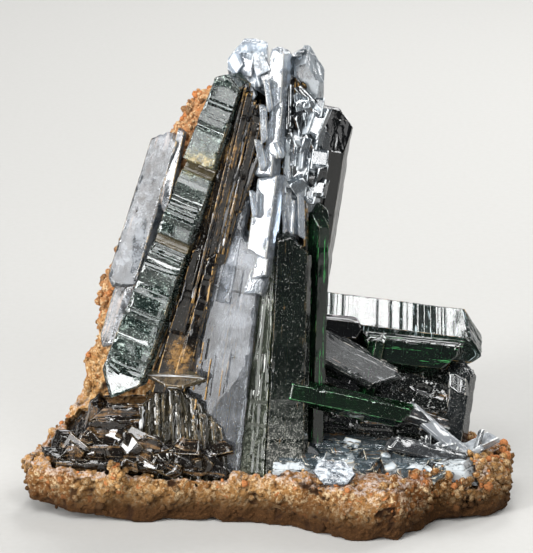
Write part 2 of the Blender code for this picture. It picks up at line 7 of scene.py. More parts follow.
import bmesh
import bpy
import numpy as np
from bpy.props import FloatProperty, FloatVectorProperty, IntProperty, PointerProperty
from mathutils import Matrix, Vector


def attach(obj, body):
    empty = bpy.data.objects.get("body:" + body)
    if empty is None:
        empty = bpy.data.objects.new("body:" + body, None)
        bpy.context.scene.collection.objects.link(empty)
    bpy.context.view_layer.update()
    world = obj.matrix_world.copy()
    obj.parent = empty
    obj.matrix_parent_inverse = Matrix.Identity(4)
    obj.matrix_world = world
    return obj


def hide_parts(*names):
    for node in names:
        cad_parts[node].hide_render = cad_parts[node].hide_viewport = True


bl_info = {
    "name": "Vivianite Specimen",
    "version": (1, 0, 0),
    "blender": (4, 5, 0),
    "location": "View3D > Sidebar > Specimen",
    "description": "Builds the crystals, the matrix and the studio of a vivianite specimen",
    "category": "Add Mesh",
}

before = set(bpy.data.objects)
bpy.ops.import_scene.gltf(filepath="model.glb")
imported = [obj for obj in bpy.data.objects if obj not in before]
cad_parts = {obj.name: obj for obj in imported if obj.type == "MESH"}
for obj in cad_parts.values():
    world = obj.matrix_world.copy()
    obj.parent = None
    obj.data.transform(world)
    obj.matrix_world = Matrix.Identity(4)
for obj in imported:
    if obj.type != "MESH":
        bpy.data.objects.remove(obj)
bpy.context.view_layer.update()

MM = 0.001
SHIFT = np.array([0.152, -0.433, 0.0])  # mm, from the crystals' own drawing to the frame
ROOT = 5.0  # mm, height at which the crystals' feet end inside the matrix
TOWER_TOP = 65.0  # mm
VIVIANITE_IOR = 1.6  # its three run from 1.58 to 1.68
CUT_STEPS = 7  # how often a column is stepped towards the cut that ends it
STEP_HALF = 0.03  # mm, half of the height over which one growth step falls
END_GAP = 0.3  # mm, from the even rows to the nearest point of a cut
CHIP_REACH = 0.5  # mm, how far in from an edge its chips reach
EDGE_TINT = 0.3  # mm, how far in from an edge its tint reaches: an iron-oxide film on some looks, a painted highlight on others
RECESS_DEPTH = 2.5  # mm, a profile thinner than this is the floor of a recess
RECESS_SHADE_MARK = 2.5  # added to hollow on the floor of a recess, which is 0 to 1 elsewhere; the material paints shade there
KNOB = np.array([-20.6, -11.6, 7.4])  # mm, the middle of the knob of grains on the matrix
KNOB_SPREAD = np.array([0.42, 0.4, 0.8])  # mm
KNOB_GRAINS = 110


# ---------------------------------------------------------------- numbers


# Whole numbers that dice folds bits with: two odd ones whose bits are well mixed, a prime and an offset.
FOLD_ONE = np.uint64(0x9E3779B97F4A7C15)
FOLD_TWO = np.uint64(0xBF58476D1CE4E5B9)
KEY_PRIME = 7919
KEY_OFFSET = 41
LOW_32_BITS = 0xFFFFFFFF


def dice(key, *whole):
    """A repeatable number from 0 to 1 for each set of whole ones, made by multiplying and folding their
    bits."""
    shape = np.broadcast(*whole).shape
    mixed = np.full(shape or (1,), (key * KEY_PRIME + KEY_OFFSET) & LOW_32_BITS, np.uint64)
    for number in whole:
        mixed = (mixed ^ np.asarray(number).astype(np.int64).astype(np.uint64)) * FOLD_ONE
        mixed ^= mixed >> np.uint64(29)
    mixed = mixed * FOLD_TWO
    mixed ^= mixed >> np.uint64(32)
    return ((mixed >> np.uint64(11)).astype(float) / 2.0**53).reshape(shape)


def drift(at, key):
    """Smooth random heights from -1 to 1: chance values on a unit lattice, blended between its corners by
    3t^2 - 2t^3."""
    base = np.floor(at).astype(np.int64)
    part = at - base
    part = part * part * (3 - 2 * part)
    total = 0.0
    for corner in itertools.product((0, 1), repeat=at.shape[-1]):
        weight = np.prod(np.where(corner, part, 1 - part), axis=-1)
        total = total + weight * dice(key, *np.moveaxis(base + corner, -1, 0))
    return 2 * total - 1


def cells(at, key):
    """Breaks space into cells round chance points, one in each unit box: the distance to the nearest point,
    how much farther the next one is, the nearest one's own number from 0 to 1, and the way from it."""
    base = np.floor(at).astype(np.int64)
    near = np.full(at.shape[:-1], 9.0)
    second = near.copy()
    own = np.zeros_like(near)
    way = np.zeros_like(at)
    for offset in itertools.product((-1, 0, 1), repeat=at.shape[-1]):
        box = np.moveaxis(base + offset, -1, 0)
        point = np.stack([box[k] + dice(key + k, *box) for k in range(len(box))], axis=-1)
        away = at - point
        far = np.sqrt((away**2).sum(axis=-1))
        closer = far < near
        second = np.where(closer, near, np.minimum(second, far))
        own = np.where(closer, dice(key + 9, *box), own)
        way = np.where(closer[..., None], away, way)
        near = np.where(closer, far, near)
    return near, second - near, own, way


def smooth(low, high, value):
    """0 below low, 1 above high and 3t^2 - 2t^3 between."""
    t = np.clip((value - low) / (high - low), 0, 1)
    return t * t * (3 - 2 * t)


def facing(azimuth, elevation=0.0):
    """The direction that a face looks in: 0 is to the front, positive to the right and up."""
    turn, lift = math.radians(azimuth), math.radians(elevation)
    return np.array([math.sin(turn) * math.cos(lift), -math.cos(turn) * math.cos(lift), math.sin(lift)])


VIEW = facing(0, 16)  # from the specimen to the camera

# Where the lights that faces are turned to stand: azimuth and elevation in degrees.
KEY_SIDE = -46
LEFT = (-65, 14)
HIGH_LEFT = (-19, 56)
FRONT_RIGHT = (26, 33)


def flash(azimuth, elevation):
    """The way a face looks if it mirrors the light at that azimuth and elevation to the front: half-way
    between."""
    half = VIEW + facing(azimuth, elevation)
    return half / np.linalg.norm(half)


# ---------------------------------------------------------------- outlines


def hexagon(width, depth, point=0.28):
    """A six-sided outline with its front face broad. point is the share of the width in each bevel."""
    half, back, flat = width / 2, depth / 2, width * (0.5 - point)
    return [(-half, 0), (-flat, -back), (flat, -back), (half, 0), (flat, back), (-flat, back)]


def slab(width, depth, bevel):
    """A flat outline with its two front edges bevelled."""
    half, back = width / 2, depth / 2
    return [
        (-half, bevel - back), (bevel - half, -back), (half - bevel, -back),
        (half, bevel - back), (half, back), (-half, back),
    ]


def ribbed(width, depth, front_ribs, rib_depth, back_ribs=0):
    """An outline with ribs of uneven width along its front and, if asked for, its back."""

    def edge(count):
        widths = 1 + 0.55 * np.sin(2.4 * np.arange(count))
        ends = np.concatenate([[0], np.cumsum(widths)]) / widths.sum() * width - width / 2
        return list(zip(ends[:-1], ends[1:]))

    points = []
    for left, right in edge(front_ribs):
        points += [(left, -depth / 2 + rib_depth), (left + 0.35 * (right - left), -depth / 2)]
    points += [(width / 2, -depth / 2 + rib_depth), (width / 2, depth / 2 - rib_depth)]
    for left, right in reversed(edge(max(back_ribs, 1))):
        points += [(left + 0.6 * (right - left), depth / 2), (left, depth / 2 - rib_depth)]
    return points


def walked(section, spacing):
    """The outline walked once round, its corners kept and its sides divided evenly: the points, which way
    each looks, the side that each is on, how far along it has come and how far off the nearest corner is."""
    corners = np.array(section, float)
    after = np.roll(corners, -1, axis=0)
    if (corners[:, 0] * after[:, 1] - corners[:, 1] * after[:, 0]).sum() < 0:
        corners = corners[::-1].copy()
        after = np.roll(corners, -1, axis=0)
    length = np.linalg.norm(after - corners, axis=1)
    shares = []
    for reach in length:
        pieces = max(1, math.ceil(reach / spacing))
        even = np.arange(pieces) / pieces
        # Points close to the corners let an edge keep its own narrow tint.
        near = np.array([0.1, 0.3]) / reach if reach > 0.8 else np.array([0.5] if reach > 0.3 else [])
        shares.append(np.unique(np.round(np.concatenate([even, near, 1 - near]), 4)))
    count = np.array([len(one) for one in shares])
    first = np.cumsum(count) - count
    side = np.repeat(np.arange(len(corners)), count)
    share = np.concatenate(shares)
    points = corners[side] + (after - corners)[side] * share[:, None]
    out = np.stack([after[:, 1] - corners[:, 1], corners[:, 0] - after[:, 0]], axis=1) / length[:, None]
    look = out[side].copy()
    look[first] += out[np.arange(len(corners)) - 1]
    look /= np.maximum(np.linalg.norm(look, axis=1, keepdims=True), 1e-6)
    begun = np.cumsum(length) - length
    brink = np.minimum(share, 1 - share) * length[side]
    return points, look, side, begun[side] + share * length[side], brink


# ---------------------------------------------------------------- crystals

# How the faces of a crystal are broken up, all in mm but the slopes: how deep its lamellae stand and how wide
# and long they are, how far each is tilted, the height and spacing of the growth steps across it, the slope
# of the flat strips between those, the depth and size of the flakes that have come off, the size of the chips
# on its edges, the roughness of its broken ends, how deep it is scalloped, how far its steps stray, and how
# closely its surface is worked out.
GLASSY = dict(
    ribs=0.0, pitch=2.8, span=16.0, tilt=0.008, ledges=0.015, rise=4.0, pleat=0.0, flakes=0.0,
    flake=(1.2, 3.0), chips=0.14, hackle=0.06, fine=0.25, step=0.9, scallop=0.0, wobble=0.0,
)
STRIATED = dict(
    GLASSY, ribs=0.04, pitch=0.8, span=9.0, tilt=0.04, ledges=0.03, rise=2.6, chips=0.2, hackle=0.15,
    fine=0.18, step=0.8,
)
RIBBED = dict(
    GLASSY, ribs=0.4, pitch=1.2, span=12.0, tilt=0.14, ledges=0.04, rise=3.6, chips=0.25, hackle=0.5,
    fine=0.17, step=0.5, scallop=0.03, wobble=0.05,
)
FLUTED = dict(RIBBED, ribs=0.3, pitch=1.1, span=6.0, tilt=0.25, step=0.4, scallop=0.2, wobble=0.12)
STEPPED = dict(
    GLASSY, pitch=9.0, span=30.0, ledges=0.004, rise=3.0, pleat=0.004, chips=0.2, hackle=0.1, fine=0.2,
    step=0.7, wobble=0.03,
)
PLEATED = dict(GLASSY, ledges=0.02, rise=0.35, pleat=0.045, pitch=9.0, hackle=0.1, fine=0.3)
PLATY = dict(
    GLASSY, ribs=0.12, pitch=0.8, span=5.0, tilt=0.06, ledges=0.09, rise=1.6, flakes=0.22, flake=(1.3, 2.2),
    chips=0.4, hackle=0.4, fine=0.22, step=0.4,
)
SHARD = dict(
    GLASSY, tilt=0.02, pitch=1.6, span=7.0, ledges=0.03, rise=3.0, chips=0.3, hackle=0.2, fine=0.2, step=0.6,
)
CLEAN = dict(GLASSY, tilt=0.0, ledges=0.0, chips=0.06, hackle=0.0, fine=0.5, step=1.5)


def grow(
    foot, tip, section, front, taper=1.0, tip_cuts=(), foot_cuts=(), habit=STRIATED, key=1, profile=None,
    shaves=(), slopes=None,
):
    """A crystal: its outline carried from foot to tip and ended by flat cuts.

    A point of the outline climbs along the axis while it closes in on it evenly by the taper. Each cut is
    (drop, side, forward), a plane that crosses the axis drop short of the end, tipped to the right and to the
    front, and a column of points ends where it meets the lowest of them. Ribs, growth steps, flakes and chips
    push the surface inwards. profile is (height, thickness) pairs that scale the outline's depth, with
    straight slopes between. Each shave is (from, to, depth, sideways, upwards), a flat facet cut on the front
    between two heights: y is at least depth plus the two slopes times x and z. slopes is (height, slope)
    pairs that tilt the strips between growth steps.
    """
    foot, tip = np.array(foot, float), np.array(tip, float)
    length = np.linalg.norm(tip - foot)
    up = (tip - foot) / length
    look = np.array(front, float)
    look = look - look.dot(up) * up
    look /= np.linalg.norm(look)
    turn = np.array([np.cross(up, look), -look, up])

    points, out, side, around, brink = walked(section, habit["fine"])
    columns = len(points)
    middle = points.mean(axis=0)
    girth = around[-1] + np.linalg.norm(points[0] - points[-1])
    if profile is not None:
        heights, depths = np.array(profile, float).T

    def spread(flat, z):
        share = 1 + (taper - 1) * z / length
        if profile is None:
            return flat * share[..., None]
        return np.stack([flat[..., 0] * share, flat[..., 1] * np.interp(z, heights, depths)], axis=-1)

    def ended(flat, cuts, base, sign):
        """Where a column that starts at a point of the outline meets the nearest of the cuts, by stepping
        towards it."""
        z = np.full(flat.shape[:-1], base)
        for _ in range(CUT_STEPS):
            at = spread(flat, z)
            met = [
                base + sign * drop
                + sign * (
                    at[..., 0] * math.tan(math.radians(right)) - at[..., 1] * math.tan(math.radians(forward))
                )
                for drop, right, forward in cuts
            ]
            z = (np.minimum if sign < 0 else np.maximum).reduce([np.full(z.shape, base)] + met)
        rough = cells(flat / 0.7 + key, key + 50)
        dig = habit["hackle"] * (rough[2] + 0.4 * rough[3][..., 0] * np.sin(6 * rough[2]))
        return z + sign * np.clip(dig, 0, 2)

    low, high = ended(points, foot_cuts, 0.0, 1), ended(points, tip_cuts, length, -1)
    high = np.maximum(high, low + 0.1)
    start, stop = low.max() + END_GAP, high.min() - END_GAP

    # The heights of the rows: even ones, and a close pair at each growth step.
    climb = habit["rise"] * (0.35 + 1.3 * dice(key + 2, np.arange(int(length / habit["rise"] * 2) + 4)))
    climbs = np.cumsum(climb)
    climbs = climbs[climbs < length]
    extra = [climbs - STEP_HALF, climbs + STEP_HALF]
    if profile is not None:
        extra.append(heights)
    if stop > start + 1:
        level = np.concatenate(
            [np.linspace(start, stop, max(2, int((stop - start) / habit["step"]) + 1))] + extra
        )
        level = np.unique(np.round(level[(level >= start) & (level <= stop)], 3))
        levels = np.broadcast_to(level[:, None], (len(level), columns))
    else:
        start = stop = (low + high) / 2
        levels = np.broadcast_to(start, (1, columns))
    foot_rows = max(1, int(np.ceil((np.max(start) - low.min()) / habit["step"])))
    tip_rows = max(1, int(np.ceil((high.max() - np.min(stop)) / habit["step"])))
    below = (np.arange(foot_rows) / foot_rows)[:, None]
    below = low * (1 - below) + start * below
    above = (np.arange(1, tip_rows + 1) / tip_rows)[:, None]
    above = stop * (1 - above) + high * above
    z = np.concatenate([below, levels, above])
    rows = len(z)

    # Relief, as a depth to push in by. The lamellae are strips between chance places round the outline and
    # its corners, each broken into lengths with their own depth and tilt.
    def laid_out(wide, tall):
        """The surface unrolled, in units that are so many mm wide and tall."""
        return np.stack([np.broadcast_to(around / wide, z.shape), z / tall], axis=-1)

    count = int(girth / habit["pitch"] * 1.6) + 4
    border = np.cumsum(habit["pitch"] * (0.3 + 1.4 * dice(key + 3, np.arange(count))))
    border = np.unique(
        np.concatenate([[0.0], border[border < girth - 0.1], around[np.flatnonzero(brink == 0)], [girth]])
    )
    strip = np.clip(np.searchsorted(border, around, side="right") - 1, 0, len(border) - 2)
    off = around - (border[strip] + border[strip + 1]) / 2
    span = habit["span"] * (0.4 + 1.2 * dice(key + 5, strip))
    lot = np.floor(z / span + dice(key + 6, strip))
    strips = np.broadcast_to(strip, z.shape)
    ribs = dice(key + 7, strips, lot)
    lean = 2 * dice(key + 8, strips, lot) - 1
    relief = habit["ribs"] * ribs + habit["tilt"] * (lean * off + 0.5 * habit["pitch"])
    relief = relief + 0.08 * habit["tilt"] * (2 * dice(key + 9, strips, lot) - 1) * (z % span - span / 2)
    if habit["scallop"]:
        dents = np.stack([strips * 0.7 + around * 0.3, z / 1.5], axis=-1)
        relief += habit["scallop"] * np.abs(drift(dents, key + 33))
        relief *= np.clip(1.3 - 0.6 * np.abs(drift(laid_out(2.2, 4.0), key + 31)), 0.4, 1.3)
    if habit["pleat"]:
        stair = np.concatenate([[0.0], climbs, [length]])
        strip_at = np.clip(np.searchsorted(stair, z) - 1, 0, len(stair) - 2)
        half = (stair[strip_at + 1] - stair[strip_at]) / 2
        slope = 0.9 * dice(key + 12, np.broadcast_to(side, z.shape), strip_at) - 0.45
        slope = slope + 1.6 * drift(np.stack([stair[strip_at] / 3.5, 3.0 * side + 0 * z], axis=-1), key + 34)
        slope = habit["pleat"] * slope
        if slopes is not None:
            slope = slope + np.interp(stair[strip_at], *np.array(slopes, float).T)
        relief += slope * np.clip(z - stair[strip_at] - half, -half, half) + 0.1 * half
    if len(climbs) > 1:
        marks = np.sort(np.concatenate([climbs - STEP_HALF, climbs + STEP_HALF]))
        for number in np.unique(side):
            value = habit["ledges"] * dice(key + 10, np.full(len(marks), number), np.arange(len(marks)))
            mine = side == number
            relief[:, mine] += np.interp(z[:, mine], marks, value)
    if habit["flakes"]:
        flake = cells(laid_out(*habit["flake"]) + key, key + 20)
        relief += habit["flakes"] * (flake[2] < 0.45) * (0.6 + flake[2])
    nick = drift(laid_out(0.7, 0.8), key + 30)
    relief += habit["chips"] * np.clip(nick - 0.15, 0, 1) * np.clip(1 - brink / CHIP_REACH, 0, 1)

    inside = np.clip(np.minimum(z - low, high - z) / 1.2, 0, 1)
    z = z + inside * habit["wobble"] * drift(laid_out(1.1, 2.5), key + 32)
    flat = spread(np.broadcast_to(points, (rows, columns, 2)), z) - out * relief[..., None]
    for begin, end, depth, sideways, upwards in shaves:
        facet = np.maximum(flat[..., 1], depth + sideways * flat[..., 0] + upwards * z)
        flat[..., 1] = np.where(
            (z >= begin) & (z <= end), np.minimum(facet, points[:, 1].max() - 0.3), flat[..., 1],
        )
    body = np.concatenate([flat, z[..., None]], axis=-1)

    # The two ends: rings that shrink to the middle of the outline and follow the cuts.
    reach = np.linalg.norm(points - middle, axis=1).max()
    rings = max(2, int(np.ceil(reach / (1.6 * habit["fine"]))))
    ends = []
    for cuts, base, sign, rim in ((foot_cuts, 0.0, 1, 0), (tip_cuts, length, -1, -1)):
        shrink = (1 - np.arange(1, rings) / rings)[:, None, None]
        inner = middle + (points - middle) * shrink
        height = ended(inner, cuts, base, sign)
        if sign < 0:
            height = np.maximum(height, low.min() + 0.05)
        ring = spread(inner, height) - (out * relief[rim][:, None]) * shrink
        pole_height = ended(middle[None], cuts, base, sign)
        pole = np.concatenate([spread(middle[None], pole_height), pole_height[:, None]], axis=-1)
        ends.append((np.concatenate([ring, height[..., None]], axis=-1), pole))
    grid = np.concatenate([ends[0][0][::-1], body, ends[1][0]])
    laid = np.concatenate([grid.reshape(-1, 3), ends[0][1], ends[1][1]])
    co = laid @ turn + foot + SHIFT

    def at(row, column):
        """Places in the grid, where the poles are in the rows before the first and after the last."""
        return np.stack([row, column], axis=-1)

    total = len(grid)
    j, i = np.meshgrid(np.arange(total - 1), np.arange(columns), indexing="ij")
    quads = np.stack([at(j, i), at(j, i + 1), at(j + 1, i + 1), at(j + 1, i)], axis=2).reshape(-1, 4, 2)
    i = np.arange(columns)
    first, last = 0 * i, 0 * i + total - 1
    foot_fan = np.stack([at(first - 1, i), at(first, i + 1), at(first, i)], axis=1)
    tip_fan = np.stack([at(last + 1, i), at(last, i), at(last, i + 1)], axis=1)
    tri = np.concatenate([quads[:, [0, 1, 2]], quads[:, [0, 2, 3]], foot_fan, tip_fan])
    row, column = tri[..., 0], tri[..., 1]
    foot_pole, tip_pole = total * columns, total * columns + 1
    index = np.where(row == total, tip_pole, row * columns + column % columns)
    index = np.where(row < 0, foot_pole, index)
    u = np.append(around, girth)[column]
    v = np.concatenate([[0], grid[..., 2].mean(axis=1), [length]])[row + 1]
    capped = ((row < rings - 1) | (row >= total - rings + 1)).any(axis=1)[:, None]
    grain = np.where(capped[..., None], laid[index][..., :2], np.stack([u, v], axis=-1))
    grain = np.concatenate([grain, np.full(u.shape + (1,), float(key))], axis=-1)
    # The floor of a recess is marked, and the material paints shade there.
    if profile is not None:
        ribs = ribs + RECESS_SHADE_MARK * (np.interp(z, heights, depths) < RECESS_DEPTH)
    cap = np.zeros((rings - 1, columns))
    hollow = np.append(np.concatenate([cap, ribs, cap]).ravel(), [0, 0])
    # Nearness to an edge, which the material tints: an iron-oxide film on some looks, a painted highlight on
    # others. The rows where the sides meet the ends get more of it.
    edge = np.repeat(np.clip(1 - brink / EDGE_TINT, 0, 1)[None], total, axis=0)
    edge[[rings - 1, -rings]] *= 1.5
    edge = np.append(edge.ravel(), [0, 0])
    return dict(co=co, tri=index, grain=grain, hollow=hollow, edge=edge)


def gathered(parts):
    """Several closed surfaces as one set of arrays."""
    first = np.cumsum([0] + [len(part["co"]) for part in parts])
    made = {
        kind: np.concatenate([part[kind] for part in parts]) for kind in ("co", "grain", "hollow", "edge")
    }
    made["tri"] = np.concatenate([part["tri"] + start for part, start in zip(parts, first)])
    return made


def noted(mesh, made):
    """Keeps what the material reads of each vertex in the mesh's attributes."""
    for kind in ("hollow", "edge", "tint", "dusted"):
        if kind in made:
            layer = mesh.attributes.new(kind, "FLOAT", "POINT")
            layer.data.foreach_set("value", made[kind].astype(np.float32))
    return mesh


def mesh_of(name, made):
    """Puts the arrays, in mm, into a mesh in metres. Each face keeps its own flat look."""
    mesh = bpy.data.meshes.new(name)
    mesh.vertices.add(len(made["co"]))
    mesh.vertices.foreach_set("co", (made["co"] * MM).astype(np.float32).ravel())
    count = len(made["tri"])
    mesh.loops.add(3 * count)
    mesh.loops.foreach_set("vertex_index", made["tri"].astype(np.int32).ravel())
    mesh.polygons.add(count)
    mesh.polygons.foreach_set("loop_start", np.arange(0, 3 * count, 3, dtype=np.int32))
    mesh.update(calc_edges=True)
    layer = mesh.attributes.new("grain", "FLOAT_VECTOR", "CORNER")
    layer.data.foreach_set("vector", made["grain"].astype(np.float32).ravel())
    return noted(mesh, made)


def placed(name, mesh, material, slot, *nodes):
    """Makes the piece, which rides on the specimen and stands for the CAD nodes named."""
    obj = bpy.data.objects.new(name, mesh)
    bpy.context.scene.collection.objects.link(obj)
    mesh.materials.append(material)
    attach(obj, "root")
    if nodes:
        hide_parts(*nodes)
    return obj


def sliver(centre, front, spin, length, width, depth, key, habit=None, **ends):
    """A small slab round a point: its front looks the way given, and its axis is the upright turned by spin
    in degrees in the plane of that front."""
    front = np.array(front, float)
    up = np.array([0, 0, 1.0]) - front[2] * front
    up /= np.linalg.norm(up)
    turn = math.radians(spin)
    axis = math.cos(turn) * up + math.sin(turn) * np.cross(front, up)
    centre = np.array(centre, float)
    outline = slab(width, depth, min(width, depth) * 0.07)
    return grow(
        centre - axis * length / 2, centre + axis * length / 2, outline, front, habit=habit or CLEAN, key=key,
        **ends,
    )


def grown(rows, habit, key, apart=1, **more):
    """A crystal for each row, which is foot, tip, outline, front, the cuts of the tip and the cuts of the
    foot. The front is an azimuth or a direction. The keys count up from the first by the step given."""
    made = []
    for n, (foot, tip, outline, front, tops, feet) in enumerate(rows):
        look = facing(front) if np.isscalar(front) else front
        made.append(grow(
            foot, tip, outline, look, tip_cuts=tops, foot_cuts=feet, habit=habit, key=key + apart * n, **more,
        ))
    return made


def broken(chance, most, forward=0, drop=0.1):
    """A cut at each end of a sliver that slants by chance, up to most degrees to either side."""
    top = [(drop, chance.uniform(-most, most), forward)]
    return dict(tip_cuts=top, foot_cuts=[(drop, chance.uniform(-most, most), forward)])


# Each function below makes the crystals of the CAD node that it is named for, and grow says how an outline
# becomes a crystal. Sizes are in mm, and a cut is its drop and its two slants in degrees.


def stepped_blade():
    # Each tier leans out as it climbs and then steps back in, which leaves a narrow bright ledge.
    steps = [
        (0.0, 4.2), (5.0, 4.0), (5.2, 2.85), (9.6, 2.95), (9.9, 2.78), (13.5, 2.95), (13.7, 2.85),
        (17.0, 3.1), (17.3, 2.93), (17.5, 2.94), (17.6, 2.95), (20.4, 3.25), (20.75, 3.05), (21.4, 3.15),
        (21.5, 3.0), (22.2, 3.1), (22.3, 2.9), (23.3, 2.95), (23.4, 2.2), (23.8, 2.45), (23.85, 2.2),
        (24.25, 2.45), (24.3, 2.2), (24.6, 2.4), (24.7, 3.15), (25.0, 2.98), (27.4, 3.12), (27.5, 3.04),
        (29.5, 3.15), (29.8, 2.98), (29.9, 2.99), (30.0, 3.0), (30.1, 3.0), (30.35, 2.86), (32.2, 2.98),
        (32.3, 2.88), (33.9, 2.95), (34.0, 2.1), (34.4, 2.35), (34.45, 2.1), (34.9, 2.35), (34.95, 2.1),
        (35.5, 2.4), (35.6, 4.45), (40.3, 4.54), (40.7, 4.55), (40.8, 4.55), (44.0, 4.6), (44.25, 4.46),
        (59.1, 4.6),
    ]
    outline = [(-3.3, -0.9), (-3.1, -1.0), (3.0, -1.0), (3.3, -0.82), (3.3, 0.0), (-3.3, 0.0)]
    return [grow(
        (-20.8, -5.7, 16.0), (-3.5, 0.3, 61.9), outline, facing(-20), taper=0.62,
        tip_cuts=[(0.4, -34, 4), (0.4, 26, 10)], foot_cuts=[(0.6, -54, 0), (1.2, 44, 0)],
        habit=STEPPED, key=11, profile=steps, shaves=[
            (0.0, 5.4, -3.7, -0.09, 0.12), (9.55, 9.95, -3.68, -0.09, 0.12),
            (16.95, 17.55, -5.0, -0.09, 0.12), (20.35, 21.45, -5.15, -0.09, 0.12),
            (29.45, 29.85, -6.16, -0.09, 0.12), (30.05, 30.4, -6.1, -0.09, 0.12),
            (40.25, 40.75, -8.9, -0.09, 0.12),
        ],
    )]


def clear_blade():
    return [
        grow(
            (-8.6, -5.7, ROOT), (-2.9, -1.6, 40.8), slab(10.0, 5.2, 0.4), facing(-14), taper=0.62,
            tip_cuts=[(0.2, -12, 38), (1.4, 35, 10)],
            habit=dict(GLASSY, tilt=0.016, pitch=2.6, hackle=0.4, chips=0.25), key=12,
            shaves=[(0.0, 18.5, -2.1, 0.096, -0.02)],
        ),
        grow(
            (-6.2, -3.6, 30.0), (-3.6, -1.6, 44.6), slab(3.0, 1.8, 0.3), facing(-20), taper=0.9,
            tip_cuts=[(0.2, 4, 20)], habit=dict(GLASSY, chips=0.2), key=92,
        ),
    ]


def bright_blade():
    pearly = dict(
        GLASSY, tilt=0.012, pitch=0.9, span=7.0, ledges=0.012, chips=0.25, hackle=0.3, fine=0.2, step=0.5,
    )
    rows = [
        ((-1.9, -4.6, 31.0), (-0.7, -3.8, 34.4), slab(2.7, 3.0, 0.12), -24, [(0.2, 26, 8)], [(0.3, 14, 0)]),
        ((-0.7, -4.3, 33.4), (-0.1, -3.4, 37.4), slab(2.0, 3.2, 0.1), -23, [(0.1, -20, 8)], [(0.2, 20, 0)]),
        ((-1.0, -4.0, 36.4), (0.6, -1.7, 47.8), slab(3.1, 3.4, 0.14), -24, [(0.2, -16, 12)], [(0.3, -22, 0)]),
        ((-0.2, -2.0, 47.0), (0.5, -0.8, 52.4), slab(2.7, 3.2, 0.12), -24, [(0.4, -44, 12)], [(0.2, 0, 10)]),
        ((0.9, -1.9, 50.0), (1.9, -0.1, 59.2), slab(2.0, 2.6, 0.1), -25, [(0.2, 50, 12)], [(0.3, -40, 0)]),
        (
            (1.3, -0.7, 56.0), (1.9, 1.1, TOWER_TOP), slab(2.2, 3.0, 0.1), -24,
            [(0.0, -20, 8), (0.4, 30, 4)], [(0.4, 48, 0)],
        ),
    ]
    made = grown(rows, pearly, 13, 80, taper=0.92)
    # Small plates stand along the strip's left edge and lie across it.
    plates = [
        ((-0.9, -3.2, 50.8), facing(-6, 6), 12, 4.4, 1.0), ((-0.5, -2.9, 55.0), facing(-12, 4), 4, 5.2, 0.9),
        ((0.1, -2.2, 58.8), facing(-2, 8), 8, 4.4, 0.8), ((1.6, -3.5, 51.6), facing(-40, 10), 38, 2.4, 0.7),
        ((-1.9, -4.6, 44.2), facing(-8, 8), 8, 3.8, 0.7),
    ]
    for n, (centre, look, spin, length, width) in enumerate(plates):
        made.append(sliver(
            centre, look, spin, length, width, 0.9, 500 + n, tip_cuts=[(0.1, 40, 10)],
            foot_cuts=[(0.1, 46, 10)],
        ))
    return made


def wedge_blade():
    return [grow(
        (-2.8, -7.1, ROOT), (0.4, -2.7, 37.8), [(-2.3, -0.85), (2.2, -2.44), (2.5, 2.2), (-2.2, 2.2)],
        facing(0), taper=0.3, tip_cuts=[(0.5, 30, 25)], habit=dict(STRIATED, ribs=0.01, tilt=0.02), key=14,
    )]


def dusty_prism():
    outline = [(-3.3, -1.5), (-2.6, -3.1), (2.5, -3.1), (3.3, -1.9), (3.2, 3.0), (-3.2, 3.0)]
    return [grow(
        (2.1, -6.1, ROOT), (3.5, -1.2, 41.3), outline, facing(3), taper=0.78,
        tip_cuts=[(0.6, -18, 30), (2.2, 44, 5)],
        habit=dict(STRIATED, ribs=0.02, pitch=0.9, hackle=0.3, ledges=0.006), key=15,
    )]


def edge_prism():
    return [grow(
        (6.0, -3.5, ROOT), (7.1, 0.9, 42.9), hexagon(3.4, 4.4, 0.24), facing(24), taper=0.9,
        tip_cuts=[(0.0, 32, 20), (0.4, -34, 12), (0.6, 0, 50)], habit=STRIATED, key=16,
    )]


def outer_blades():
    return [
        grow(
            (-20.6, -1.6, 29.0), (-13.2, 1.0, 53.4), slab(5.0, 2.6, 0.18), facing(-36), taper=0.84,
            tip_cuts=[(0.4, -34, 10), (0.2, 25, 0)], foot_cuts=[(0.4, -46, 20), (2.6, 20, 0)],
            habit=dict(GLASSY, chips=0.25, hackle=0.3, tilt=0.03, pitch=2.2, span=12.0), key=17,
        ),
        grow(
            (-22.4, -2.6, 20.4), (-17.6, 0.2, 36.0), slab(4.0, 2.2, 0.16), facing(-30), taper=0.95,
            tip_cuts=[(0.4, 30, 10)], foot_cuts=[(0.2, -62, 20), (3.0, 30, 0)],
            habit=dict(GLASSY, chips=0.25, tilt=0.03), key=18,
        ),
        grow(
            (-14.2, -2.6, 42.6), (-11.6, 0.4, 53.6), slab(1.7, 1.6, 0.08), flash(KEY_SIDE, 18), taper=0.6,
            tip_cuts=[(0.2, 30, 10)], foot_cuts=[(0.2, -60, 10)], habit=CLEAN, key=94,
        ),
    ]


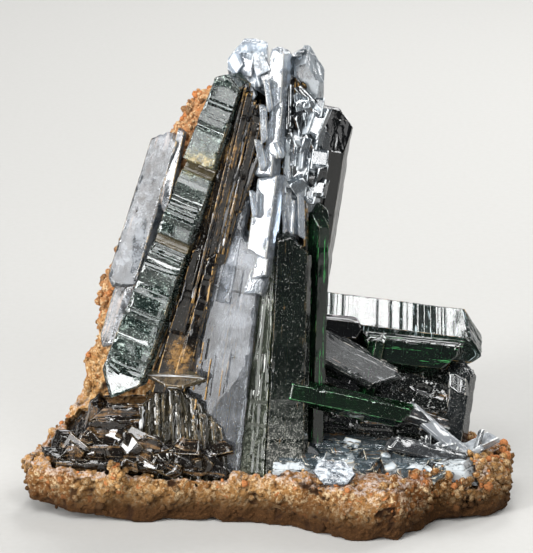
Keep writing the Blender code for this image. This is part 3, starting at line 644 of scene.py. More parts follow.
def crown_cap():
    made = [
        grow(
            (-2.0, 3.0, 55.0), (-2.9, 2.6, 65.0), hexagon(5.8, 6.2, 0.16), facing(-22),
            tip_cuts=[(0.3, -10, 10), (0.1, 14, 2), (-1.0, -46, 8), (1.2, 10, 48)],
            foot_cuts=[(4.0, -34, 30)],
            habit=dict(SHARD, hackle=0.06, chips=0.6, tilt=0.05, pitch=0.9, ledges=0.08, rise=1.0), key=19,
            shaves=[(4.5, 7.6, -4.2, 0.05, 0.24), (7.6, 12.0, -6.3, -0.1, 0.5)],
        ),
        grow(
            (-1.7, 0.2, 57.6), (-3.5, 0.9, 62.2), slab(0.9, 1.4, 0.2), flash(KEY_SIDE, 18),
            foot_cuts=[(0.2, 40, 0)], habit=CLEAN, key=20,
        ),
    ]
    # Plates broken out of the cap, most of them turned to the lamps.
    chance = np.random.default_rng(23)
    lamps = [(KEY_SIDE, 10), HIGH_LEFT, (KEY_SIDE, 30), LEFT, (-28, 12)]
    for n in range(6):
        centre = (
            -4.4 + 0.8 * n + chance.uniform(-0.3, 0.3), 0.3 + 0.2 * (n % 2),
            62.6 - 1.8 * (n % 2) + chance.uniform(-0.5, 0.5),
        )
        made.append(sliver(
            centre, flash(*lamps[n % 5]), chance.uniform(-40, 40), chance.uniform(2.4, 3.6),
            chance.uniform(1.4, 2.4), 0.8, 300 + n, **broken(chance, 50),
        ))
    return made


def crown_shards():
    # A broad facet slopes back across the top of the first two shards.
    made = [
        grow(
            (5.2, 3.6, 41.0), (5.8, 3.8, 64.0), hexagon(4.3, 5.8, 0.14), facing(-14), habit=SHARD, key=21,
            tip_cuts=[(0.2, 24, 6), (1.2, 56, 6), (0.6, -20, 20)], shaves=[(12.0, 30.0, -5.6, 0.0, 0.22)],
        ),
        grow(
            (4.3, 3.0, 41.0), (3.6, 3.6, 64.3), slab(2.1, 4.6, 0.12), facing(-24), habit=SHARD, key=22,
            tip_cuts=[(0.2, 24, 8), (0.8, -30, 0)], shaves=[(9.0, 30.0, -3.9, 0.0, 0.19)],
        ),
    ]
    rows = [
        ((3.5, 0.6, 42.4), (3.9, 1.6, 58.6), slab(1.8, 3.0, 0.1), -26, [(0.2, -46, 10)], []),
        ((6.9, 0.5, 44.4), (6.0, 1.5, 57.2), slab(2.0, 3.0, 0.1), -10, [(0.2, 40, 25)], []),
        (
            (6.4, 0.9, 44.0), (7.3, 1.7, 54.2), hexagon(2.4, 3.4, 0.25), 34, [(0.2, 40, 25), (0.6, -30, 10)],
            [],
        ),
        ((4.6, -0.4, 43.2), (5.4, -0.1, 50.0), slab(2.0, 2.4, 0.1), -24, [(0.2, -35, 30)], [(0.4, 30, 20)]),
    ]
    made += grown(rows, SHARD, 23)
    # Broken facets cover the shards below that in a rough mosaic, some bright, some turned away.
    chance = np.random.default_rng(5)
    looks = [
        flash(KEY_SIDE, 12), facing(48, -6), flash(*FRONT_RIGHT), facing(-64, 4), flash(KEY_SIDE, 20),
        facing(14, -24), flash(*LEFT), facing(70, 20), flash(26, 30), facing(-8, -12), flash(*HIGH_LEFT),
    ]
    for n in range(24):
        column, row = n % 4, n // 4
        centre = (
            3.3 + 1.25 * column + chance.uniform(-0.4, 0.4),
            -0.6 + 0.14 * row - 0.3 * (column % 2) + chance.uniform(-0.3, 0.2),
            44.6 + 2.35 * row + chance.uniform(-0.7, 0.7) + 0.9 * (column % 2),
        )
        made.append(sliver(
            centre, looks[(5 * n + row) % 11], chance.normal(0, 20), chance.uniform(2.2, 4.6),
            chance.uniform(1.3, 2.3), chance.uniform(0.8, 1.4), 100 + n,
            tip_cuts=[(0.1, chance.uniform(-50, 50), chance.uniform(0, 30))],
            foot_cuts=[(0.1, chance.uniform(-50, 50), 10)],
        ))
    # Long thin ones stand along the left of the mosaic.
    for n in range(7):
        centre = (2.7 + 0.42 * n + chance.uniform(-0.1, 0.1), -0.9 + 0.1 * n, chance.uniform(48.5, 57.5))
        made.append(sliver(
            centre, flash(KEY_SIDE, 12 + 3 * n) if n % 2 else facing(chance.uniform(-40, 40)),
            chance.normal(3, 5), chance.uniform(5.0, 9.0), chance.uniform(0.4, 0.9), 1.0, 160 + n,
            **broken(chance, 60, 10),
        ))
    # Three bright plates slant across the foot of the broad facet.
    for n, (across, height, spin, length, width) in enumerate(
        [(5.2, 58.4, 52, 3.4, 0.9), (6.4, 57.0, 48, 3.2, 0.9), (4.5, 56.4, 20, 3.4, 1.0)]
    ):
        made.append(sliver(
            (across, -0.1, height), flash(KEY_SIDE, 14 + 6 * n), spin, length, width, 1.2, 130 + n,
            tip_cuts=[(0.1, 30, 10)], foot_cuts=[(0.1, -40, 10)],
        ))
    return made


def needle_columns():
    rows = [
        ((3.2, -1.4, 36.0), (2.9, -0.2, 49.4), slab(1.1, 2.2, 0.08), -16, [(0.2, -38, 20)], [(0.3, 30, 0)]),
        ((4.5, -1.5, 38.4), (4.3, -0.4, 46.4), slab(1.0, 2.0, 0.08), 14, [(0.2, 30, 30)], [(0.3, -40, 0)]),
        ((3.7, -0.4, 40.6), (3.7, 0.5, 45.6), slab(1.6, 1.8, 0.1), 0, [(0.2, 0, 30)], [(0.2, 0, 30)]),
        (
            (3.4, -2.2, 39.0), (3.6, -1.4, 44.2), slab(0.7, 1.0, 0.06), flash(KEY_SIDE, 18), [(0.2, 20, 0)],
            [(0.2, 30, 0)],
        ),
        (
            (2.9, -2.6, 36.2), (2.0, -1.0, 45.6), slab(0.6, 1.0, 0.06), flash(KEY_SIDE, 30), [(0.2, -50, 0)],
            [(0.2, 50, 0)],
        ),
        (
            (2.3, -2.4, 38.6), (2.7, -0.9, 47.0), slab(0.5, 0.8, 0.1), flash(KEY_SIDE, 10), [(0.2, 40, 0)],
            [(0.2, -50, 0)],
        ),
    ]
    return grown(rows, dict(GLASSY, fine=0.2), 31)


def rear_prism():
    return [grow(
        (2.1, 8.6, ROOT), (9.5, 10.6, 54.0), hexagon(6.2, 6.0, 0.2), facing(6), taper=0.94,
        tip_cuts=[(0.2, 5, 2), (1.3, 2, 56), (-0.8, 46, 0)], habit=STRIATED, key=35,
    )]


def fibres():
    """The core's brown fibres, which stand in front of the clear blade, towards its left edge."""
    chance = np.random.default_rng(29)
    made = []
    for n in range(7):
        side, up = chance.uniform(0, 1) ** 1.3, chance.uniform(0, 1)
        low = np.array([-11.6 + 4.6 * side, -7.9 - 0.25 * side, 14.0])
        high = np.array([-8.0 + 4.0 * side, -4.9 - 0.9 * side, 36.0])
        foot = low + up * 0.75 * (high - low)
        tip = foot + chance.uniform(0.08, 0.3) * (high - low)
        made.append(grow(
            foot, tip, slab(chance.uniform(0.12, 0.3), 0.4, 0.04), facing(chance.uniform(-30, 0)), taper=0.7,
            key=340 + n, habit=CLEAN, **broken(chance, 60),
        ))
    return made


def ribbed_core():
    made = [grow(
        (-5.8, 2.0, ROOT), (0.7, 4.2, 62.6), ribbed(24.0, 12.4, 11, 1.0, 7), facing(-4), taper=0.40,
        tip_cuts=[(0.6, -14, 16), (1.2, 24, -20)], habit=dict(RIBBED, fine=0.34, step=1.0), key=36,
    )]
    # Broad dark blades fill the foot of the channel between the stepped and the clear blade.
    rows = [
        ((-14.8, -6.3, 17.6), (-9.0, -3.9, 38.4), slab(2.7, 1.8, 0.12), 6, [(0.2, -30, 20)], [(0.2, 24, 0)]),
        ((-12.6, -6.7, 18.4), (-8.2, -4.6, 33.0), slab(2.2, 1.6, 0.1), 12, [(0.2, 46, 20)], [(0.2, -30, 0)]),
        ((-11.2, -6.6, 22.0), (-7.4, -4.4, 37.4), slab(1.6, 1.4, 0.1), -2, [(0.2, -50, 20)], [(0.2, 40, 0)]),
    ]
    made += grown(rows, dict(STRIATED, ribs=0.02, tilt=0.02, pitch=0.7, chips=0.3), 190, taper=0.8)
    # Slender blades fan out above them.
    chance = np.random.default_rng(3)
    count = 15
    for n in range(count):
        side = n / (count - 1)
        rise = max(0.0, side - 0.4) / 0.6
        foot = np.array([
            -15.4 + 8.0 * side + 3.0 * rise, -5.2 + 2.6 * rise, 18.6 + 23.0 * rise + chance.uniform(0, 3),
        ])
        tip = np.array([
            -4.6 + 3.9 * side, -2.4 - 0.8 * chance.random(),
            54.0 + 6.0 * math.sin(math.pi * side) + chance.uniform(-3, 1),
        ])
        if n % 3 == 1:
            foot = foot + chance.uniform(0.15, 0.4) * (tip - foot)
        made.append(grow(
            foot, tip, slab(chance.uniform(1.0, 2.6), chance.uniform(0.9, 1.6), 0.2),
            facing(chance.uniform(-50, 25), chance.uniform(0, 8)), taper=chance.uniform(0.5, 0.9),
            key=200 + n, tip_cuts=[(0.2, chance.uniform(-60, 60), 20)],
            foot_cuts=[(0.2, chance.uniform(-60, 60), 0)],
            habit=dict(STRIATED, ribs=0.01, tilt=0.02, pitch=1.2, fine=0.25, step=1.2),
        ))
    return made + fibres()


def fan_stump():
    return [
        grow(
            (-12.4, -5.2, ROOT), (-13.2, -4.2, 21.4), ribbed(11.0, 7.4, 9, 0.7), facing(-8), taper=0.74,
            tip_cuts=[(0.2, -4, 12), (2.0, 34, 10), (1.4, -40, 10)], habit=FLUTED, key=37,
        ),
        grow(
            (-7.8, -6.4, ROOT), (-8.4, -5.6, 16.8), ribbed(6.0, 5.6, 4, 0.6), facing(6), taper=0.8,
            tip_cuts=[(0.4, 14, 30), (1.8, 50, 10)], habit=FLUTED, key=38,
        ),
        # A smooth lens-shaped plate lies on the flutes.
        sliver(
            (-12.7, -7.1, 20.2), facing(-5, 50), 86, 8.8, 3.2, 0.8, 338,
            habit=dict(CLEAN, fine=0.3, step=0.6), tip_cuts=[(0.0, 66, 0), (0.0, -66, 0)],
            foot_cuts=[(0.0, 66, 0), (0.0, -66, 0)],
        ),
    ]


def foot_block():
    return [grow(
        (-22.0, -7.2, 8.9), (-4.4, -8.0, 8.0), slab(4.6, 3.6, 0.7), facing(-2, 24),
        tip_cuts=[(0.4, -8, 24), (1.8, -40, 0)], foot_cuts=[(0.4, -16, 20), (1.4, -44, 10)],
        habit=dict(PLATY, ribs=0.1, flakes=0.16), key=39,
    )]


def foot_ledges():
    rows = [
        ((-29.2, 1.2, 9.0), (-14.0, -1.0, 9.8), slab(4.8, 7.6, 0.6), 0, [], [(1.0, -42, 16)]),
        ((-31.0, -1.4, 7.7), (-12.0, -3.6, 8.2), slab(4.0, 6.4, 0.5), 0, [], [(0.8, -36, 24)]),
        ((-32.4, -3.2, 6.3), (-15.0, -6.2, 6.8), slab(3.4, 5.6, 0.5), 4, [(0.6, 20, 30)], [(1.0, -28, 34)]),
        ((-25.6, 0.0, 6.4), (-23.0, -1.2, 16.0), hexagon(3.4, 3.4), -20, [(0.3, -34, 26), (1.0, 30, 0)], []),
        ((-26.6, -0.4, 11.2), (-15.0, -2.6, 12.2), slab(3.6, 5.4, 0.5), -4, [], [(0.6, -46, 20)]),
        ((-24.6, -0.8, 13.6), (-15.4, -2.8, 14.4), slab(2.6, 4.4, 0.5), -6, [], [(0.6, -50, 20)]),
    ]
    made = grown(rows, dict(PLATY, ribs=0.08, pitch=0.6), 40)
    # Broken plates lean on the ledges and across the foot of the tower.
    chance = np.random.default_rng(37)
    for n in range(34):
        right = n % 2
        across = chance.uniform(-20.5, -6.5) if right else chance.uniform(-27.0, -16.0)
        height = chance.uniform(7.4, 12.0) if right else 8.4 + chance.random() * 0.42 * (across + 28.5)
        depth = -9.4 + 0.35 * (height - 7.4) if right else -4.4 + 0.4 * (height - 8.6)
        look = flash(KEY_SIDE, 24) if n % 5 == 0 else facing(chance.uniform(-50, 40), chance.uniform(-5, 55))
        made.append(sliver(
            (across, depth + chance.uniform(-0.2, 0.4), height), look, chance.normal(80, 26),
            chance.uniform(2.6, 6.4), chance.uniform(1.2, 2.6), chance.uniform(0.6, 1.2), 400 + n,
            **broken(chance, 60, 10),
        ))
    return made


def shelf_plates():
    rows = [
        ((0.2, -1.0, 6.9), (32.4, 0.2, 6.3), slab(3.6, 18.0, 0.9), 0, [(0.5, -30, 26), (3.4, -10, -40)], []),
        ((1.2, -1.4, 8.3), (29.0, -0.4, 7.3), slab(2.2, 15.6, 0.7), 4, [(0.4, -24, 32), (3.0, 0, -30)], []),
        ((2.4, -0.4, 9.3), (22.6, 0.8, 8.6), slab(1.8, 11.0, 0.6), -3, [(0.4, -20, 38), (2.0, 0, -36)], []),
    ]
    made = grown(rows, dict(PLATY, fine=0.3, step=0.5), 45)
    # Thin cleavage plates that have cracked off the shelf and lie on it.
    chance = np.random.default_rng(11)
    for n in range(64):
        across, down = chance.uniform(1.0, 28.0), chance.uniform(0, 1)
        centre = (across, -3.4 - 7.0 * down, 9.5 - 0.06 * across - 1.5 * down**2 + chance.uniform(-0.2, 0.3))
        look = facing(chance.uniform(-40, 40), chance.uniform(34, 84))
        made.append(sliver(
            centre, look, chance.uniform(0, 180), chance.uniform(1.6, 3.8), chance.uniform(1.4, 3.0),
            chance.uniform(0.5, 0.9), 260 + n,
            tip_cuts=[(0.1, chance.uniform(-50, 50), 0), (0.3, chance.uniform(-60, 60), 0)],
            foot_cuts=[(0.1, chance.uniform(-50, 50), 0), (0.3, chance.uniform(-60, 60), 0)],
        ))
    return made


def loose_plate():
    frayed = dict(
        PLATY, flakes=0.07, flake=(0.8, 1.4), hackle=0.15, tilt=0.08, rise=0.7, ledges=0.08, chips=0.6,
        fine=0.14, step=0.25,
    )
    return [sliver(
        (9.1, -13.3, 8.5), facing(-8, 37), 88, 6.3, 3.5, 1.1, 48, habit=frayed,
        tip_cuts=[(0.1, 34, 0), (0.1, -46, 0)], foot_cuts=[(0.1, 44, 0), (0.1, -36, 0)],
    )]


def lying_prism():
    outline = [(-4.3, 4.0), (-2.3, -3.7), (1.1, -4.4), (4.0, -1.4), (3.6, 3.8)]
    return [grow(
        (3.4, 10.4, 22.6), (32.4, 10.0, 18.9), outline, facing(0),
        tip_cuts=[(0.4, 6, 16), (1.4, -40, 6), (2.0, 48, 0)], habit=PLEATED, key=49,
        slopes=[
            (0, -0.16), (6, -0.07), (9, -0.02), (13, 0.0), (17, 0.0), (17.4, -0.24), (20.4, -0.24),
            (20.8, -0.05), (22.6, -0.07), (23.0, -0.26), (30, -0.2),
        ],
    )]


def under_prism():
    return [grow(
        (13.4, 4.4, 20.6), (27.6, 4.0, 19.2), hexagon(5.6, 4.6, 0.2), facing(0, 21),
        tip_cuts=[(0.3, 10, 20), (1.2, 46, 0)], foot_cuts=[(0.4, 30, 10)], habit=STRIATED, key=50,
    )]


def stub_prism():
    return [grow(
        (6.0, 4.9, 23.9), (14.6, 4.6, 23.0), hexagon(4.2, 4.2, 0.22), facing(0, 20),
        tip_cuts=[(0.4, 30, 26), (1.0, -30, 0)], habit=STRIATED, key=51,
    )]


def cross_prism():
    return [grow(
        (13.6, 0.8, 13.0), (15.8, 2.8, 23.8), hexagon(2.8, 2.8), facing(10),
        tip_cuts=[(0.3, 26, 30), (0.8, -30, 0)], habit=STRIATED, key=52,
    )]


def slanting_blades():
    return [
        grow(
            (4.8, 2.4, 23.2), (19.2, -1.0, 16.4), slab(4.4, 2.0, 0.4), facing(8, 38),
            tip_cuts=[(0.6, -36, 10), (2.4, 46, 0)],
            habit=dict(STRIATED, ribs=0.02, tilt=0.03, pitch=0.9, ledges=0.0), key=53,
        ),
        grow(
            (4.8, 4.6, 25.0), (16.6, 1.4, 18.4), slab(2.0, 2.6, 0.4), facing(14, 40),
            tip_cuts=[(0.4, 20, 30)], habit=GLASSY, key=54,
        ),
    ]


def green_rod():
    return [grow(
        (2.9, -5.6, 17.8), (20.9, -4.4, 13.4), hexagon(3.7, 4.0, 0.22), facing(0, 18), taper=0.96,
        tip_cuts=[(0.3, -26, 30), (1.6, 40, 0)], habit=GLASSY, key=55,
    )]


def bed_blades():
    return [
        grow(
            (5.6, 3.6, 10.2), (27.6, 1.2, 9.2), slab(6.4, 8.0, 1.4), facing(0, 10),
            tip_cuts=[(0.6, -30, 24), (2.4, 24, 0)], habit=dict(PLATY, flakes=0.12), key=56,
        ),
        grow(
            (4.6, 5.6, 19.6), (27.4, 3.4, 11.8), slab(7.4, 4.4, 1.0), facing(0, 20), tip_cuts=[(0.6, 26, 20)],
            habit=dict(PLATY, flakes=0.12), key=57,
        ),
        grow(
            (20.4, 6.4, 8.0), (26.2, 6.6, 19.0), slab(4.4, 2.2, 0.2), facing(6, 8), tip_cuts=[(0.4, 36, 20)],
            habit=dict(STRIATED, hackle=0.4), key=59,
        ),
    ]


def corner_crystal():
    return [
        grow(
            (25.7, 2.2, ROOT), (27.8, 4.4, 20.2), hexagon(4.6, 4.0, 0.2), facing(-4), taper=0.95,
            tip_cuts=[(0.3, 8, 24), (1.4, -40, 20), (1.2, 40, 10)], key=58,
            habit=dict(STRIATED, ribs=0.01, tilt=0.02, ledges=0.006, chips=0.4, hackle=0.5),
        ),
        # A striated cleavage face shines high up on its front.
        sliver(
            (26.9, 1.7, 16.4), flash(KEY_SIDE, 22), 6, 3.2, 2.6, 1.4, 510,
            habit=dict(CLEAN, ribs=0.03, pitch=0.35, fine=0.2, step=0.8), tip_cuts=[(0.1, 30, 10)],
            foot_cuts=[(0.1, -34, 10)],
        ),
    ]


def splinters():
    rows = [
        ((27.6, -3.8, 7.8), (19.4, -2.4, 14.6), slab(1.9, 1.4, 0.3), facing(11, 24), [(0.3, 20, 30)], []),
        ((27.4, -5.4, 7.4), (16.6, -6.4, 10.6), slab(2.2, 2.4, 0.3), facing(13, 24), [(0.3, 34, 10)], []),
        ((25.0, -1.0, 11.0), (18.6, -4.8, 14.4), slab(1.6, 1.4, 0.1), facing(-10, 50), [(0.3, 0, 36)], []),
        ((27.0, -2.8, 7.6), (32.2, -1.4, 9.8), slab(1.6, 1.6, 0.1), facing(0, 50), [(0.3, -30, 20)], []),
    ]
    made = grown(rows, CLEAN, 60)
    chance = np.random.default_rng(8)
    for n in range(9):
        centre = (chance.uniform(19.0, 30.0), chance.uniform(-5.4, -2.6), chance.uniform(8.2, 9.8))
        look = flash(*FRONT_RIGHT) if n % 3 == 0 else facing(chance.uniform(-60, 60), chance.uniform(0, 60))
        made.append(sliver(
            centre, look, chance.uniform(-80, 80), chance.uniform(1.6, 4.0), chance.uniform(0.5, 1.2),
            chance.uniform(0.4, 0.8), 140 + n, **broken(chance, 45, drop=0.2),
        ))
    return made


# ---------------------------------------------------------------- the matrix


def swelling(co, look, grain):
    """How far the matrix's surface is pushed out at each place in mm, given which way it looks there, and the
    parts of that relief: the gaps between knobs, the pits and the fine grains."""
    knob, gap, own, _ = cells(co / (grain * 1.9) + 0.25 * drift(co / 1.2, 72)[:, None], 73)
    fine, _, fine_own, _ = cells(co / (grain * 0.8), 76)
    pits = smooth(0.35, 0.6, drift(co / 1.9, 79))
    lift = 0.4 * drift(co / 4.2, 71) + 0.3 * drift(co / 1.5, 74)
    lift += 0.3 * (0.5 - np.clip(knob, 0, 1) ** 2) * (0.3 + own)
    lift -= 0.12 * (1 - smooth(0.0, 0.22, gap))
    lift += 0.4 * (0.5 - np.clip(fine, 0, 1)) * (0.3 + fine_own)
    lift -= 0.3 * pits
    under = smooth(-0.995, -0.9, look[:, 2])
    lift *= smooth(0.05, 1.1, co[:, 2]) * np.clip(under + 0.15, 0, 1)
    return lift, gap, pits, fine, fine_own


def read(items, kind, stored=np.float32):
    """Three numbers of each item, as an array. Those that were stored as fractions come back as full ones."""
    values = np.empty(3 * len(items), stored)
    items.foreach_get(kind, values)
    values = values.reshape(-1, 3)
    return values.astype(float) if stored == np.float32 else values


def rock(settings):
    """The matrix: the CAD solid's surface, laid out anew as small even faces and pushed in and out.

    Coarse knobs are 1 - d^2 round chance points, finer grains ride on them, the gaps between cells are sunk,
    and smooth chance heights swell the whole. The flat underside stays where it is.
    """
    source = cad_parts["matrix"].data
    body = bmesh.new()
    body.from_mesh(source)
    bmesh.ops.remove_doubles(body, verts=body.verts, dist=1e-7)
    mesh = bpy.data.meshes.new("limonite_matrix")
    body.to_mesh(mesh)
    body.free()
    obj = bpy.data.objects.new("limonite_draft", mesh)
    bpy.context.scene.collection.objects.link(obj)
    fuse = obj.modifiers.new("fuse", "REMESH")
    fuse.mode = "VOXEL"
    fuse.voxel_size = settings.matrix_detail
    fuse.use_smooth_shade = False
    graph = bpy.context.evaluated_depsgraph_get()
    fused = bpy.data.meshes.new_from_object(obj.evaluated_get(graph))
    bpy.data.objects.remove(obj)
    bpy.data.meshes.remove(mesh)
    if not len(fused.vertices):
        raise RuntimeError("the matrix came out empty")
    fused.name = "limonite_matrix"

    co = read(fused.vertices, "co") / MM
    look = read(fused.vertex_normals, "vector")

    grain = settings.grain_size / MM
    lift, gap, pits, fine, fine_own = swelling(co, look, grain)
    co += look * lift[:, None]
    co[:, 2] = np.maximum(co[:, 2], 0.0)
    fused.vertices.foreach_set("co", (co * MM).astype(np.float32).ravel())
    hollow = np.clip(0.3 * (1 - smooth(0.0, 0.3, gap)) + 0.45 * pits + 0.5 * smooth(0.45, 0.9, fine), 0, 1)
    dusted = smooth(0.1, 0.8, look[:, 2]) * smooth(3.0, 6.0, co[:, 2])
    made = dict(hollow=hollow, tint=fine_own * (fine < 0.5), dusted=dusted)
    noted(fused, made).update()
    return fused


def crumbs(settings):
    """Loose grains on the matrix: small spheres squeezed in three directions, their surface r = 1 + chance.

    Each is a closed grid of 7 by 4 points with a pole at each end, set at a chance point of the matrix and
    sunk in it. They crowd on its right end and on the ridge at its left, and the first of them pile up into a
    knob at its front left.
    """
    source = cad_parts["matrix"].data
    source.calc_loop_triangles()
    index = read(source.loop_triangles, "vertices", np.int32)
    count = len(index)
    corner = read(source.vertices, "co")[index] / MM
    normal = np.cross(corner[:, 1] - corner[:, 0], corner[:, 2] - corner[:, 0])
    area = np.linalg.norm(normal, axis=1)
    normal /= np.maximum(area, 1e-9)[:, None]
    lies = (normal[:, 2] > -0.55) & (corner[:, :, 2].min(axis=1) > 0.8)
    middle = corner.mean(axis=1)
    crowd = area * lies * (
        1 + 4.5 * smooth(17.0, 24.0, middle[:, 0]) + 1.8 * smooth(18.0, 28.0, middle[:, 2])
    )
    chance = np.random.default_rng(17)
    wanted, grain = settings.crumb_count, settings.grain_size / MM
    picked = chance.choice(count, wanted, p=crowd / crowd.sum())
    a, b = chance.random((2, wanted))
    flip = a + b > 1
    a, b = np.where(flip, 1 - a, a), np.where(flip, 1 - b, b)
    tri = corner[picked]
    spot = tri[:, 0] + a[:, None] * (tri[:, 1] - tri[:, 0]) + b[:, None] * (tri[:, 2] - tri[:, 0])
    spot += normal[picked] * swelling(spot, normal[picked], grain)[0][:, None]
    size = grain * (0.22 + 0.5 * chance.random(wanted) ** 2.2)
    spot[:KNOB_GRAINS] = KNOB + chance.normal(size=(KNOB_GRAINS, 3)) * KNOB_SPREAD
    size[:KNOB_GRAINS] = chance.uniform(0.15, 0.45, KNOB_GRAINS)

    rings, around = 4, 7
    theta = (np.arange(1, rings + 1) / (rings + 1) * math.pi)[:, None]
    phi = (np.arange(around) / around * 2 * math.pi)[None]
    ball = np.stack(
        [np.sin(theta) * np.cos(phi), np.sin(theta) * np.sin(phi), np.cos(theta) + 0 * phi], axis=-1,
    )
    ball = np.concatenate([ball.reshape(-1, 3), [[0, 0, 1.0], [0, 0, -1.0]]])
    radius = 1 + 0.42 * (chance.random((wanted, len(ball))) - 0.5)
    squeeze = 0.7 + 0.6 * chance.random((wanted, 1, 3))
    spin = np.linalg.qr(chance.normal(size=(wanted, 3, 3)))[0]
    spin *= np.sign(np.linalg.det(spin))[:, None, None]
    shape = (ball[None] * radius[..., None] * squeeze * size[:, None, None]) @ spin
    co = shape + (spot + normal[picked] * size[:, None] * 0.25)[:, None]
    co[..., 2] = np.maximum(co[..., 2], 0.05)
    i, j = np.meshgrid(np.arange(around), np.arange(rings - 1))
    here, right = j * around + i, j * around + (i + 1) % around
    one = np.arange(around)
    after, last = (one + 1) % around, (rings - 1) * around
    top, bottom = np.full(around, rings * around), np.full(around, rings * around + 1)
    faces = np.concatenate([
        np.stack([here, here + around, right + around], -1).reshape(-1, 3),
        np.stack([here, right + around, right], -1).reshape(-1, 3),
        np.stack([top, one, after], -1),
        np.stack([bottom, last + after, last + one], -1),
    ])
    tri = (faces[None] + (np.arange(wanted) * len(ball))[:, None, None]).reshape(-1, 3)
    tone = np.repeat(chance.random(wanted), len(ball))
    return dict(
        co=co.reshape(-1, 3), tri=tri, grain=np.zeros((len(tri), 3, 3)), hollow=0.6 * (tone < 0.3), tint=tone,
        dusted=0 * tone,
    )


# ---------------------------------------------------------------- materials


def linear(code):
    """An sRGB hex colour as linear numbers."""
    parts = [int(code[k : k + 2], 16) / 255 for k in (0, 2, 4)]
    return tuple(p / 12.92 if p <= 0.04045 else ((p + 0.055) / 1.055) ** 2.4 for p in parts) + (1.0,)


# What the word after a node's kind sets.
CHOICES = dict(Math="operation", VectorMath="operation", MapRange="interpolation_type", Mix="data_type")


def add(tree, kind, inputs=(), output=0, **settings):
    """Adds a node and gives back one of its outputs. A word after the kind is its choice, as in "Math ADD".
    The inputs are values or other nodes' outputs, in a list from the first socket on or by socket."""
    kind, _, choice = kind.partition(" ")
    made = tree.nodes.new("ShaderNode" + kind)
    if choice:
        settings[CHOICES[kind]] = choice
    for name, value in settings.items():
        setattr(made, name, value)
    for socket, value in inputs.items() if isinstance(inputs, dict) else enumerate(inputs):
        if isinstance(value, bpy.types.NodeSocket):
            tree.links.new(value, made.inputs[socket])
        else:
            made.inputs[socket].default_value = value
    return made.outputs[output] if made.outputs else made


def darkened(code, share):
    """A hex colour brought down to a share of its light."""
    return tuple(share * part for part in linear(code)[:3]) + (1.0,)


def begun(name):
    """A new material with nothing in it, and add for its tree."""
    material = bpy.data.materials.new(name)
    material.use_nodes = True
    material.node_tree.nodes.clear()
    return material, partial(add, material.node_tree)


